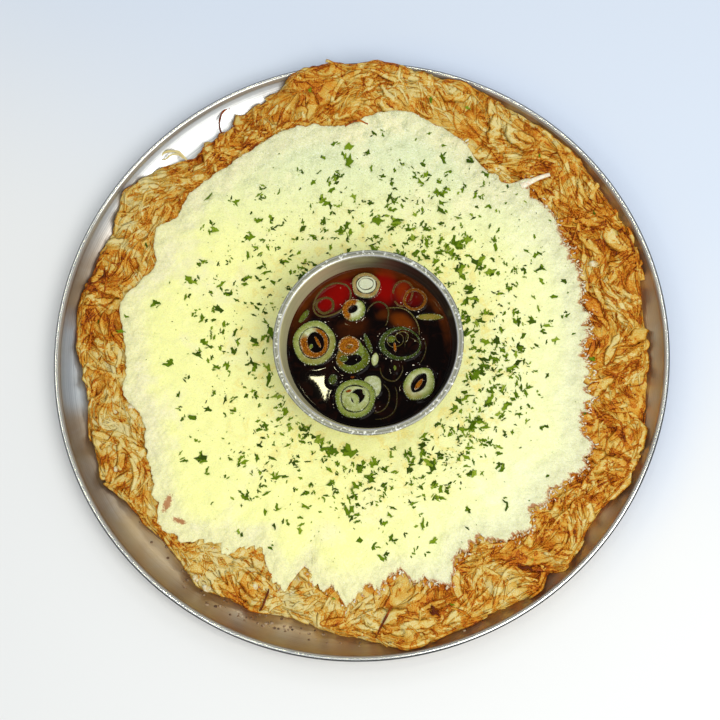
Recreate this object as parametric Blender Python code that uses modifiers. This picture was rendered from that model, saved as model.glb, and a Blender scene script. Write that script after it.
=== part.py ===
# A sharing-size potato pancake with melted cheese, served on a round steel tray
# with a small steel bowl of dipping sauce standing in the middle of it.
# Units are metres, +Z is up. The origin is the centre of the tray's underside.

import math

import bmesh
import bpy

# Tray: a flat floor, a wall that curves up from it, and a rolled bead as the rim. The
# bead's end and the opening that it leaves under the wall are in degrees.
TRAY_RADIUS = 0.165
TRAY_SHEET = 0.001
TRAY_FLOOR_RADIUS = 0.141
TRAY_WALL_CURVE = 0.028
TRAY_WALL_SLOPE = math.radians(50)
TRAY_BEAD_RADIUS = 0.0013
TRAY_BEAD_END = -60
TRAY_BEAD_OPENING = 2
TRAY_HEIGHT = 0.013

# Pancake: its underside follows the tray, and its far edge lies over the rim. Its
# edge rounding and its rings of points are shares of the radius.
PANCAKE_TOP = 0.0115
PANCAKE_EDGE_TOP = 0.0095
PANCAKE_EDGE_THICKNESS = 0.0045
PANCAKE_FLAT_RADIUS = 0.118
PANCAKE_EDGE_ROUNDING = 0.07
RIM_RIDE_START = 0.148
RIM_RIDE_END = 0.161
RIM_RIDE_GAP = 0.0007
RIM_RIDE_ANGLES = (72, 108)
RIM_RIDE_FADE = 7
PANCAKE_RINGS = (0, 0.4, 0.72, 0.8, 0.87, 0.93, 0.965, 0.99)

# Cheese: a melted sheet on the pancake, a little clear of the pancake's facets.
CHEESE_THICKNESS = 0.0018
CHEESE_GAP = 0.0005
CHEESE_EDGE_ROUNDING = 0.02
CHEESE_RINGS = (0, 0.5, 0.86, 0.93, 0.975, 0.995)

# Sauce bowl: a round flat-bottomed bowl with a flat turned-out lip.
BOWL_CENTRE = (0.0071, -0.0051)
BOWL_RADIUS = 0.0491
BOWL_SHEET = 0.0008
BOWL_FLOOR_RADIUS = 0.0312
BOWL_CORNER = 0.010
BOWL_WALL_LEAN = math.radians(12)
BOWL_HEIGHT = 0.030
BOWL_LIP_BEND = 0.0015

# Sauce, and the scallion slices that float in it.
SAUCE_DEPTH_BELOW_RIM = 0.012
SLICE_ABOVE_SAUCE = 0.0012
SLICE_CHAMFER = 0.0005
SLICE_COLOUR = (0.62, 0.72, 0.36)
RING_COLOUR = (0.10, 0.20, 0.05)
RING_HOLE = 0.7

# Clearance between neighbouring pieces.
GAP = 0.0003

# Steps round a full turn, and the most that a profile's straight steps cut off its arcs.
DISH_STEPS = 68
BOWL_STEPS = 40
SLICE_STEPS = 18
ARC_TOLERANCE = 0.00015
MERGE_DISTANCE = 0.00001
SHARP_EDGE = math.radians(40)

# Outline of the pancake: degrees from +X, radius.
PANCAKE_EDGE = [
    (0, 0.154), (12, 0.156), (22, 0.160), (42, 0.1605), (62, 0.1605), (74, 0.161), (80, 0.163),
    (86, 0.1642), (96, 0.1642), (102, 0.162), (106, 0.158), (112, 0.154), (120, 0.149),
    (130, 0.1475), (140, 0.156), (146, 0.159), (153, 0.153), (163, 0.155), (180, 0.1535),
    (189, 0.148), (197, 0.152), (207, 0.153), (214, 0.147), (224, 0.145), (236, 0.151),
    (257, 0.147), (266, 0.152), (279, 0.1605), (295, 0.1575), (305, 0.1595), (322, 0.154),
    (334, 0.159), (345, 0.156),
]

# Outline of the melted cheese: degrees from +X, radius.
CHEESE_EDGE = [
    (0, 0.122), (15, 0.124), (36, 0.128), (52, 0.121), (66, 0.131), (80, 0.136), (92, 0.129),
    (109, 0.132), (125, 0.128), (142, 0.127), (149, 0.130), (156, 0.122), (168, 0.131),
    (182, 0.125), (190, 0.128), (198, 0.122), (212, 0.129), (224, 0.137), (234, 0.128),
    (242, 0.120), (252, 0.129), (266, 0.131), (278, 0.125), (290, 0.131), (302, 0.122),
    (312, 0.129), (331, 0.130), (346, 0.124),
]

# Scallion slices: name, x, y, width, depth, share of the radius that is the hole,
# thickness, turn and tilt in degrees.
SLICES = [
    ("scallion_left", -0.0222, -0.0023, 0.0228, 0.0244, 0.42, 0.0036, 20, 2),
    ("scallion_back", 0.0054, 0.0283, 0.0150, 0.0146, 0.30, 0.0040, 0, 3),
    ("scallion_small", -0.0009, 0.0148, 0.0130, 0.0124, 0.40, 0.0032, 40, 4),
    ("scallion_middle", -0.0014, -0.0090, 0.0184, 0.0208, 0.40, 0.0034, -10, 3),
    ("scallion_front", -0.0004, -0.0326, 0.0212, 0.0210, 0.38, 0.0038, 0, 2),
    ("scallion_right", 0.0326, -0.0250, 0.0160, 0.0182, 0.42, 0.0034, -25, 6),
    ("scallion_dark_ring", 0.0226, -0.0035, 0.0226, 0.0180, 0.86, 0.0026, 10, 2),
    ("scallion_far_ring", 0.0311, 0.0202, 0.0130, 0.0124, 0.74, 0.0028, 0, 3),
]


def clear_scene():
    for obj in list(bpy.data.objects):
        bpy.data.objects.remove(obj, do_unlink=True)


def make_collection(name):
    collection = bpy.data.collections.new(name)
    bpy.context.scene.collection.children.link(collection)
    return collection


def make_material(name, colour, roughness, metallic):
    material = bpy.data.materials.new(name)
    material.use_nodes = True
    shader = material.node_tree.nodes["Principled BSDF"]
    shader.inputs["Base Color"].default_value = (*colour, 1)
    shader.inputs["Roughness"].default_value = roughness
    shader.inputs["Metallic"].default_value = metallic
    return material


def add_object(name, mesh, collection, material=None):
    obj = bpy.data.objects.new(name, mesh)
    collection.objects.link(obj)
    if material:
        mesh.materials.append(material)
    mesh.shade_smooth()
    mesh.set_sharp_from_angle(angle=SHARP_EDGE)
    return obj


def smooth_step(value):
    value = min(max(value, 0), 1)
    return value * value * (3 - 2 * value)


# Points along an arc about (x, z), from one angle to another in degrees.
def arc(x, z, radius, start, end):
    widest_step = 2 * math.acos(1 - ARC_TOLERANCE / radius)
    count = math.ceil(math.radians(abs(end - start)) / widest_step)
    points = []
    for i in range(count + 1):
        angle = math.radians(start + (end - start) * i / count)
        points.append((x + radius * math.cos(angle), z + radius * math.sin(angle)))
    return points


# Radius of a closed outline at an angle, on a smooth curve through its knots.
def outline_radius(knots, degrees):
    count = len(knots)
    degrees %= 360
    last = max(i for i in range(count) if knots[i][0] <= degrees)
    values = [knots[(last + step) % count][1] for step in (-1, 0, 1, 2)]
    start = knots[last][0]
    end = knots[(last + 1) % count][0] + (360 if last == count - 1 else 0)
    t = (degrees - start) / (end - start)
    slope_in = (values[2] - values[0]) / 2
    slope_out = (values[3] - values[1]) / 2
    rise = values[2] - values[1]
    return (values[1] + slope_in * t + (3 * rise - 2 * slope_in - slope_out) * t ** 2
            + (slope_in + slope_out - 2 * rise) * t ** 3)


# A solid turned about Z from a profile of (radius, height) that runs from the top
# centre, down the outer side, to the bottom centre.
def turned(name, profile, steps, collection, material=None, closed=False):
    mesh = bpy.data.meshes.new(name)
    edges = [(i, i + 1) for i in range(len(profile) - 1)]
    if closed:
        edges.append((len(profile) - 1, 0))
    mesh.from_pydata([(radius, 0, height) for radius, height in profile], edges, [])
    obj = add_object(name, mesh, collection, material)
    screw = obj.modifiers.new("Turn", "SCREW")
    screw.axis = "Z"
    screw.angle = math.radians(360)
    screw.steps = steps
    screw.render_steps = steps
    screw.use_merge_vertices = True
    screw.merge_threshold = MERGE_DISTANCE
    screw.use_smooth_shade = True
    return obj


# Height of the tray's upper surface at a radius inside the bead.
def tray_surface(radius):
    run = max(radius - TRAY_FLOOR_RADIUS, 0)
    run = min(run, TRAY_WALL_CURVE * math.sin(TRAY_WALL_SLOPE))
    return TRAY_SHEET + TRAY_WALL_CURVE - math.sqrt(TRAY_WALL_CURVE ** 2 - run ** 2)


def tray_profile():
    centre_height = TRAY_SHEET + TRAY_WALL_CURVE
    slope = math.degrees(TRAY_WALL_SLOPE)
    bead_x = TRAY_RADIUS - TRAY_BEAD_RADIUS
    bead_z = TRAY_HEIGHT - TRAY_BEAD_RADIUS
    profile = [(0, TRAY_SHEET)]
    profile += arc(TRAY_FLOOR_RADIUS, centre_height, TRAY_WALL_CURVE, -90, slope - 90)
    profile += arc(bead_x, bead_z, TRAY_BEAD_RADIUS, 180, TRAY_BEAD_END)
    profile += arc(TRAY_FLOOR_RADIUS, centre_height, centre_height, slope - 90 - TRAY_BEAD_OPENING, -90)
    profile.append((0, 0))
    return profile


# How far the pancake rides over the rim at an angle, from 0 to 1.
def rim_ride(degrees):
    start, end = RIM_RIDE_ANGLES
    return smooth_step((degrees - start) / RIM_RIDE_FADE) * smooth_step((end - degrees) / RIM_RIDE_FADE)


def pancake_underside(radius, degrees):
    resting = tray_surface(radius) + GAP
    share = min(max((radius - RIM_RIDE_START) / (RIM_RIDE_END - RIM_RIDE_START), 0), 1)
    low = tray_surface(RIM_RIDE_START) + GAP
    over = low + (TRAY_HEIGHT + RIM_RIDE_GAP - low) * share
    return max(resting, resting + (over - resting) * rim_ride(degrees))


def pancake_top(radius, degrees):
    edge = outline_radius(PANCAKE_EDGE, degrees)
    edge_top = max(PANCAKE_EDGE_TOP, pancake_underside(edge, degrees) + PANCAKE_EDGE_THICKNESS)
    blend = smooth_step((radius - PANCAKE_FLAT_RADIUS) / (edge - PANCAKE_FLAT_RADIUS))
    return PANCAKE_TOP + (edge_top - PANCAKE_TOP) * blend


# A thin round body from a ball whose rings are moved to the heights of a top and an
# underside, with a rounded edge along an outline.
def flat_body(name, outline, top, underside, rounding, shares, collection, material):
    bm = bmesh.new()
    rings = 2 * len(shares)
    bmesh.ops.create_uvsphere(bm, u_segments=DISH_STEPS, v_segments=rings, radius=1)
    for vert in bm.verts:
        ring = round(math.acos(max(min(vert.co.z, 1), -1)) / math.pi * rings)
        angle = math.atan2(vert.co.y, vert.co.x)
        degrees = math.degrees(angle) % 360
        share = shares[min(ring, rings - ring)] if ring != rings // 2 else 1
        radius = share * outline_radius(outline, degrees)
        inset = max(share - 1 + rounding, 0) / rounding
        fullness = math.sqrt(1 - inset ** 2)
        high = top(radius, degrees)
        low = underside(radius, degrees)
        middle = (high + low) / 2
        end = high if ring < rings / 2 else low
        vert.co = (radius * math.cos(angle), radius * math.sin(angle), middle + (end - middle) * fullness)
    bmesh.ops.recalc_face_normals(bm, faces=bm.faces)
    mesh = bpy.data.meshes.new(name)
    bm.to_mesh(mesh)
    bm.free()
    return add_object(name, mesh, collection, material)


def make_pancake(collection, material):
    return flat_body("pancake", PANCAKE_EDGE, pancake_top, pancake_underside,
                     PANCAKE_EDGE_ROUNDING, PANCAKE_RINGS, collection, material)


def cheese_underside(radius, degrees):
    return pancake_top(radius, degrees) + CHEESE_GAP


def cheese_top(radius, degrees):
    return cheese_underside(radius, degrees) + CHEESE_THICKNESS


def make_cheese(collection, material):
    return flat_body("cheese", CHEESE_EDGE, cheese_top, cheese_underside,
                     CHEESE_EDGE_ROUNDING, CHEESE_RINGS, collection, material)


def bowl_base_height():
    return PANCAKE_TOP + CHEESE_GAP + CHEESE_THICKNESS + GAP


# Inner radius of the bowl's straight wall at a height above its base.
def bowl_inner_radius(height):
    corner_end = BOWL_SHEET + BOWL_CORNER * (1 - math.sin(BOWL_WALL_LEAN))
    corner_radius = BOWL_FLOOR_RADIUS + BOWL_CORNER * math.cos(BOWL_WALL_LEAN)
    return corner_radius + (height - corner_end) * math.tan(BOWL_WALL_LEAN)


def bowl_profile():
    lean = math.degrees(BOWL_WALL_LEAN)
    corner_z = BOWL_SHEET + BOWL_CORNER
    bend_z = BOWL_HEIGHT - BOWL_LIP_BEND
    wall_top = bend_z + BOWL_LIP_BEND * math.sin(BOWL_WALL_LEAN)
    bend_x = bowl_inner_radius(wall_top) + BOWL_LIP_BEND * math.cos(BOWL_WALL_LEAN)
    lip_x = BOWL_RADIUS - BOWL_SHEET / 2
    lip_z = BOWL_HEIGHT - BOWL_SHEET / 2
    profile = [(0, BOWL_SHEET)]
    profile += arc(BOWL_FLOOR_RADIUS, corner_z, BOWL_CORNER, -90, -lean)
    profile += arc(bend_x, bend_z, BOWL_LIP_BEND, 180 - lean, 90)
    profile += arc(lip_x, lip_z, BOWL_SHEET / 2, 90, -90)
    profile += arc(bend_x, bend_z, BOWL_LIP_BEND - BOWL_SHEET, 90, 180 - lean)
    profile += arc(BOWL_FLOOR_RADIUS, corner_z, corner_z, -lean, -90)
    profile.append((0, 0))
    return profile


def make_bowl(collection, material):
    bowl = turned("sauce_bowl", bowl_profile(), BOWL_STEPS, collection, material)
    bowl.location = (*BOWL_CENTRE, bowl_base_height())
    return bowl


def sauce_level():
    return bowl_base_height() + BOWL_HEIGHT - SAUCE_DEPTH_BELOW_RIM


def sauce_profile():
    level = BOWL_HEIGHT - SAUCE_DEPTH_BELOW_RIM
    lean = math.degrees(BOWL_WALL_LEAN)
    corner_z = BOWL_SHEET + BOWL_CORNER
    profile = [(0, level), (bowl_inner_radius(level) - GAP, level)]
    profile += arc(BOWL_FLOOR_RADIUS, corner_z, BOWL_CORNER - GAP, -lean, -90)
    profile.append((0, BOWL_SHEET + GAP))
    return profile


# One scallion slice, or its cutter when grown by a clearance.
def make_slice(slice_values, collection, material=None, grow=0):
    name, x, y, width, depth, hole, thickness, turn, tilt = slice_values
    inner = hole / 2 - grow / width
    rim = 1 / 2 + grow / width
    half = thickness / 2 + grow
    if grow:
        name += "_pocket"
        profile = [(inner, half), (rim, half), (rim, -half), (inner, -half)]
    else:
        bevel = SLICE_CHAMFER / width
        profile = [
            (inner, half), (rim - bevel, half), (rim, half - SLICE_CHAMFER),
            (rim, SLICE_CHAMFER - half), (rim - bevel, -half), (inner, -half),
        ]
    obj = turned(name, profile, SLICE_STEPS, collection, material, closed=True)
    obj.scale = (width, depth, 1)
    obj.rotation_euler = (math.radians(tilt), 0, math.radians(turn))
    obj.location = (x, y, sauce_level() + SLICE_ABOVE_SAUCE - thickness / 2)
    return obj


def make_sauce(collection, cutters, material):
    sauce = turned("sauce", sauce_profile(), BOWL_STEPS, collection, material)
    sauce.location = (*BOWL_CENTRE, bowl_base_height())
    for slice_values in SLICES:
        pocket = make_slice(slice_values, cutters, grow=GAP)
        pocket.hide_render = True
        pocket.display_type = "WIRE"
        cut = sauce.modifiers.new(slice_values[0], "BOOLEAN")
        cut.operation = "DIFFERENCE"
        cut.solver = "EXACT"
        cut.object = pocket
    return sauce


def main():
    clear_scene()
    parts = make_collection("potato_pancake")
    cutters = make_collection("cutters")
    steel = make_material("tray_steel", (0.62, 0.60, 0.56), 0.30, 1)
    bowl_steel = make_material("bowl_steel", (0.68, 0.67, 0.65), 0.22, 1)
    crust = make_material("fried_potato", (0.56, 0.31, 0.09), 0.55, 0)
    cheese = make_material("melted_cheese", (0.95, 0.92, 0.58), 0.40, 0)
    sauce = make_material("soy_dip", (0.020, 0.005, 0.002), 0.08, 0)
    turned("tray", tray_profile(), DISH_STEPS, parts, steel)
    make_pancake(parts, crust)
    make_cheese(parts, cheese)
    make_bowl(parts, bowl_steel)
    make_sauce(parts, cutters, sauce)
    for slice_values in SLICES:
        colour = RING_COLOUR if slice_values[5] > RING_HOLE else SLICE_COLOUR
        scallion = make_material(slice_values[0], colour, 0.35, 0)
        make_slice(slice_values, parts, scallion)


main()
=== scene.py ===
import math

import bpy
import numpy as np
from mathutils import Matrix, Quaternion, Vector


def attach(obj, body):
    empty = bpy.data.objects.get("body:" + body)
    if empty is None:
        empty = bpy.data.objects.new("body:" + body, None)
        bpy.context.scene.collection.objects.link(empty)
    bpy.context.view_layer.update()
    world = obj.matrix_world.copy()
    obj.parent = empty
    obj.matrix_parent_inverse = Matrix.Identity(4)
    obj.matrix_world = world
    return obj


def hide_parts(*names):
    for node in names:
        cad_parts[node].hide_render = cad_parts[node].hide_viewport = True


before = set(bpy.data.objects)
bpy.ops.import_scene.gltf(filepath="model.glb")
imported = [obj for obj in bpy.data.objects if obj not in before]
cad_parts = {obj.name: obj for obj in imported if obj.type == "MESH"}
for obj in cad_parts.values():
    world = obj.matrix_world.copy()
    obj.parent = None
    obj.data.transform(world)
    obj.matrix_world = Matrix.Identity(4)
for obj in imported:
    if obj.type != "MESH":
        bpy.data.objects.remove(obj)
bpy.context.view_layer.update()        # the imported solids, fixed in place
mm = 0.001


def deselectAll():
    if bpy.context.object and bpy.context.object.mode != "OBJECT":
        bpy.ops.object.mode_set(mode="OBJECT")
    bpy.ops.object.select_all(action="DESELECT")


def takePiece(piece):
    deselectAll()
    piece.select_set(True)
    bpy.context.view_layer.objects.active = piece


# smooth rise from 0 to 1 as value goes from low to high
def ease(value, low, high):
    share = np.clip((value - low) / (high - low), 0, 1)
    return share * share * (3 - 2 * share)


# radius of a closed outline at any angle, through its knots of (degrees, millimetres)
def outlineAt(knots, degrees):
    angles = np.array([knot[0] for knot in knots], float)
    radii = np.array([knot[1] for knot in knots], float) * mm
    count = len(knots)
    degrees = np.mod(degrees, 360)
    last = np.searchsorted(angles, degrees, side="right") - 1
    before, here, after, beyond = [radii[(last + step) % count] for step in (-1, 0, 1, 2)]
    start = angles[last]
    end = np.where(last == count - 1, angles[0] + 360, angles[(last + 1) % count])
    t = (degrees - start) / (end - start)
    slopeIn = (after - before) / 2
    slopeOut = (beyond - here) / 2
    rise = after - here
    return (here + slopeIn * t + (3 * rise - 2 * slopeIn - slopeOut) * t ** 2
            + (slopeIn + slopeOut - 2 * rise) * t ** 3)


# rolling unevenness: many sine waves of one rough length, each its own way
class Ripple:
    def __init__(self, seed, wavelength, waves=9):
        draw = np.random.default_rng(seed)
        heading = draw.uniform(0, 2 * math.pi, waves)
        number = 2 * math.pi / (wavelength * draw.uniform(0.7, 1.5, waves))
        self.kx = number * np.cos(heading)
        self.ky = number * np.sin(heading)
        self.phase = draw.uniform(0, 2 * math.pi, waves)

    def at(self, x, y):
        total = np.zeros(np.shape(x))
        for kx, ky, phase in zip(self.kx, self.ky, self.phase):
            total = total + np.sin(kx * x + ky * y + phase)
        return total / math.sqrt(len(self.kx) / 2)


def polar(x, y):
    return np.hypot(x, y), np.degrees(np.arctan2(y, x)) % 360


def onRing(radius, angle):
    return radius * np.cos(angle), radius * np.sin(angle)


def ringRow(radius, angle, height):
    return np.stack([*onRing(radius, angle), height], 1)


# how far a place is from an oval's middle, 1 at its edge: all in mm but the place
def ovalShare(x, y, middle, halves, turn):
    c, s = math.cos(math.radians(turn)), math.sin(math.radians(turn))
    dx, dy = x - middle[0] * mm, y - middle[1] * mm
    return np.hypot((dx * c + dy * s) / (halves[0] * mm), (dy * c - dx * s) / (halves[1] * mm))


def wholeTurn(steps):
    return np.linspace(0, 2 * math.pi, steps, endpoint=False)


# a wave along each strand, of its own length and start
def waves(draw, along, slowest, fastest, count):
    return np.sin(along * draw.uniform(slowest, fastest, (count, 1)) + draw.uniform(0, 6, (count, 1)))


def newPiece(name, data):
    piece = bpy.data.objects.new(name, data)
    bpy.context.scene.collection.objects.link(piece)
    return piece


# a mesh of points and faces, with numbers for each point
def meshOf(name, points, faces, numbers):
    mesh = bpy.data.meshes.new(name)
    mesh.from_pydata(points.tolist(), [], faces.tolist())
    mesh.validate()
    piece = newPiece(name, mesh)
    for key, values in numbers.items():
        writeNumbers(piece, key, values)
    mesh.shade_smooth()
    return piece


# one last step on the whole mesh, then all its faces turned out
def cleanMesh(piece, step, **values):
    takePiece(piece)
    bpy.ops.object.mode_set(mode="EDIT")
    bpy.ops.mesh.select_all(action="SELECT")
    step(**values)
    bpy.ops.mesh.normals_make_consistent(inside=False)
    bpy.ops.object.mode_set(mode="OBJECT")
    piece.data.shade_smooth()


def place(piece, material, slot=None, replaced=()):
    piece.data.materials.clear()
    piece.data.materials.append(material)
    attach(piece, "root")
    if replaced:
        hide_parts(*replaced)


# a turned piece: its section of (radius, height) is drawn point by point at +X and spun about Z
def spunPiece(name, section, steps):
    deselectAll()
    bpy.ops.mesh.primitive_plane_add(size=1 * mm)
    piece = bpy.context.object
    piece.name = name
    piece.data.name = name
    bpy.ops.object.mode_set(mode="EDIT")
    bpy.ops.mesh.select_mode(type="VERT")
    bpy.ops.mesh.select_all(action="SELECT")
    bpy.ops.mesh.merge(type="CENTER")
    bpy.ops.transform.translate(value=(section[0][0], 0, section[0][1]))
    for (radius, height), (nextRadius, nextHeight) in zip(section, section[1:]):
        move = {"value": (nextRadius - radius, 0, nextHeight - height)}
        bpy.ops.mesh.extrude_region_move(TRANSFORM_OT_translate=move)
    bpy.ops.mesh.select_all(action="SELECT")
    bpy.ops.mesh.spin(steps=steps, angle=2 * math.pi, center=(0, 0, 0), axis=(0, 0, 1))
    cleanMesh(piece, bpy.ops.mesh.remove_doubles, threshold=0.01 * mm)
    return piece


def readPoints(piece):
    points = np.empty(len(piece.data.vertices) * 3, np.float32)
    piece.data.vertices.foreach_get("co", points)
    return points.reshape(-1, 3).astype(float)


def writePoints(piece, points):
    piece.data.vertices.foreach_set("co", np.asarray(points, np.float32).ravel())
    piece.data.update()


def writeNumbers(piece, key, values):
    layer = piece.data.attributes.new(key, "FLOAT", "POINT")
    layer.data.foreach_set("value", np.asarray(values, np.float32).ravel())


def arc(x, z, radius, start, end, count):
    angles = np.radians(np.linspace(start, end, count))
    return [(x + radius * math.cos(a), z + radius * math.sin(a)) for a in angles]


# a socket that takes part in sums, so a pattern is written as an expression
class Wire:
    def __init__(self, finish, socket):
        self.finish = finish
        self.socket = socket

    def join(self, operation, first, second):
        return self.finish.make("ShaderNodeMath", {"operation": operation}, {0: first, 1: second})

    def __add__(self, other):
        return self.join("ADD", self, other)

    def __sub__(self, other):
        return self.join("SUBTRACT", self, other)

    def __rsub__(self, other):
        return self.join("SUBTRACT", other, self)

    def __mul__(self, other):
        return self.join("MULTIPLY", self, other)

    def __truediv__(self, other):
        return self.join("DIVIDE", self, other)

    __radd__ = __add__
    __rmul__ = __mul__

    # 0 below low, 1 above high, smooth between
    def between(self, low, high):
        return self.finish.make("ShaderNodeMapRange", {"interpolation_type": "SMOOTHSTEP"},
                                {"Value": self, "From Min": low, "From Max": high})

    def held(self):
        return self.finish.make("ShaderNodeClamp", {}, {"Value": self})


class Finish:
    def __init__(self, name, **constants):
        self.material = bpy.data.materials.new(name)
        self.material.use_nodes = True
        self.tree = self.material.node_tree
        self.shader = self.tree.nodes["Principled BSDF"]
        self.body = None        # the main colour, covered layer by layer
        for key, value in constants.items():
            self.shader.inputs[key.replace("_", " ")].default_value = value

    # settings are set first, then the values or links of the sockets
    def make(self, kind, settings, inputs, output=0):
        node = self.tree.nodes.new(kind)
        for key, value in settings.items():
            if key == "stops":
                ramp = node.color_ramp
                while len(ramp.elements) < len(value):
                    ramp.elements.new(1)
                for element, (position, *tint) in zip(ramp.elements, value):
                    element.position = position
                    element.color = displayed(*tint)
            else:
                setattr(node, key, value)
        for key, value in inputs.items():
            self.feed(node.inputs[key], value)
        return Wire(self, node.outputs[output])

    def feed(self, socket, value):
        if isinstance(value, Wire):
            self.tree.links.new(value.socket, socket)
        elif isinstance(value, tuple) and socket.type == "RGBA":
            socket.default_value = displayed(*value)
        else:
            socket.default_value = value

    def drive(self, name, value):
        self.feed(self.shader.inputs[name], value)

    def spot(self):
        return self.make("ShaderNodeTexCoord", {}, {}, output=3)

    def number(self, name):
        return self.make("ShaderNodeAttribute", {"attribute_name": name}, {}, output=2)

    def blend(self, share, first, second):
        return self.make("ShaderNodeMix", {"data_type": "RGBA", "blend_type": "MIX"},
                         {0: share, 6: first, 7: second}, output=2)

    def cover(self, share, tint):
        self.body = self.blend(share, self.body, tint)

    def vector(self, operation, inputs, output=0):
        return self.make("ShaderNodeVectorMath", {"operation": operation}, dict(enumerate(inputs)), output)

    # how far a place lies in a direction
    def along(self, spot, direction):
        return self.vector("DOT_PRODUCT", (spot, direction), 1)

    def noise(self, spot, size, detail=3, rough=0.5, warp=0):
        return self.make("ShaderNodeTexNoise", {}, {
            "Vector": spot, "Scale": 1 / size, "Detail": detail, "Roughness": rough, "Distortion": warp})

    # 1 along the thin lines on which a noise has one level
    def contour(self, noise, level):
        away = self.make("ShaderNodeMath", {"operation": "ABSOLUTE"}, {0: noise - level})
        return 1 - away.between(0.004, 0.022)

    # stops are (position, red, green, blue)
    def ramp(self, value, stops):
        return self.make("ShaderNodeValToRGB", {"stops": stops}, {"Fac": value})

    def bump(self, height, depth, strength):
        inputs = {"Height": height, "Distance": depth, "Strength": strength}
        self.drive("Normal", self.make("ShaderNodeBump", {}, inputs))


# a shader colour from red, green and blue in 0 to 255
def displayed(red, green, blue):
    values = [channel / 255 for channel in (red, green, blue)]
    return *(v / 12.92 if v <= 0.04045 else ((v + 0.055) / 1.055) ** 2.4 for v in values), 1


# a look of one mottled colour: the noise's size and so on, its colours, how deep its relief is
def mottled(name, noise, stops, relief=0, **constants):
    finish = Finish(name, **constants)
    tint = finish.noise(finish.spot(), *noise)
    finish.drive("Base Color", finish.ramp(tint, stops))
    if relief:
        finish.bump(tint, relief, 0.9)
    return finish.material


tray = {"radius": 165 * mm, "sheet": 1 * mm, "floor": 141 * mm, "wallCurve": 28 * mm, "wallSlope": 50,
        "bead": 1.3 * mm, "height": 13 * mm}
crust = {"top": 11.5 * mm, "edgeTop": 9.5 * mm, "edgeThickness": 4.5 * mm, "flatRadius": 118 * mm,
         "rideStart": 148 * mm, "rideEnd": 161 * mm, "rideGap": 0.7 * mm, "rideAngles": (72, 108),
         "rideFade": 7, "clear": 0.3 * mm, "puff": 0.8 * mm, "fold": 0.35 * mm, "roll": 2.6 * mm,
         "rollWidth": 5 * mm}
# the last three are heights of its unevenness, in the middle and how much more at the border
cheese = {"gap": 0.5 * mm, "thickness": 1.8 * mm, "roll": 0.22 * mm, "lump": (0.10 * mm, 0.26 * mm),
          "curd": (0.03 * mm, 0.13 * mm)}
bowl = {"centre": (7.1 * mm, -5.1 * mm), "radius": 49.1 * mm, "sheet": 0.8 * mm, "floor": 31.2 * mm,
        "corner": 10 * mm, "lean": 12, "height": 30 * mm, "bend": 1.5 * mm, "sauceDepth": 12 * mm}

crustEdge = [
    (0, 154), (6, 153), (12, 156.5), (22, 160), (32, 159), (42, 160.5), (52, 159.5), (62, 160.5), (70, 162),
    (76, 160.5), (80, 163), (86, 165.5), (91, 163.5), (96, 165.5), (102, 162), (106, 158), (112, 154),
    (120, 149), (130, 147.5), (134, 152), (140, 156.5), (146, 159), (153, 153), (163, 155), (171, 155.5),
    (180, 153), (189, 148), (194, 151), (201, 152), (207, 153), (214, 147), (224, 145), (230, 146.5),
    (236, 151), (242, 149), (248, 149.5), (257, 147), (262, 150), (268, 153), (273, 155.5), (279, 161),
    (284, 160), (289, 158), (295, 157), (300, 158.5), (306, 159.5), (309, 154.5), (312, 159.5), (317, 157),
    (322, 154), (327, 155), (333, 159), (339, 158), (345, 156), (353, 154.5),
]
cheeseEdge = [
    (0, 122), (10, 123), (20, 125), (28, 126), (36, 128.5), (43, 125), (50, 121), (57, 122), (63, 129),
    (68, 132), (74, 135), (80, 137.5), (86, 134), (91, 129), (96, 128), (101, 130.5), (109, 132), (116, 130),
    (125, 128), (136, 129), (143, 126), (149, 131), (156, 121.5), (162, 126), (168, 132.5), (176, 127),
    (184, 125), (190, 128.5), (198, 122), (206, 125), (214, 131), (220, 137), (226, 140), (231, 133),
    (237, 125), (244, 120.5), (249, 126), (253, 133), (257, 119), (261, 129), (266, 133), (273, 131),
    (278, 125.5), (284, 129), (290, 133.5), (294, 123), (302, 122), (309, 130.5), (316, 129.5), (325, 127),
    (332, 133), (338, 127), (346, 124), (354, 121),
]


def trayTop(radius):
    run = np.clip(radius - tray["floor"], 0, tray["wallCurve"] * math.sin(math.radians(tray["wallSlope"])))
    return tray["sheet"] + tray["wallCurve"] - np.sqrt(tray["wallCurve"] ** 2 - run ** 2)


# the crust rests on the tray, and on its bead at the back
def crustUnderside(radius, degrees):
    first, last = crust["rideAngles"]
    fade = crust["rideFade"]
    ride = ease(degrees, first, first + fade) * (1 - ease(degrees, last - fade, last))
    resting = trayTop(radius) + crust["clear"]
    low = trayTop(crust["rideStart"]) + crust["clear"]
    share = np.clip((radius - crust["rideStart"]) / (crust["rideEnd"] - crust["rideStart"]), 0, 1)
    over = low + (tray["height"] + crust["rideGap"] - low) * share
    return np.maximum(resting, resting + (over - resting) * ride)


def crustTop(radius, degrees):
    edge = outlineAt(crustEdge, degrees)
    edgeTop = np.maximum(crust["edgeTop"], crustUnderside(edge, degrees) + crust["edgeThickness"])
    share = ease(radius, crust["flatRadius"], edge)
    return crust["top"] + (edgeTop - crust["top"]) * share


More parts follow.
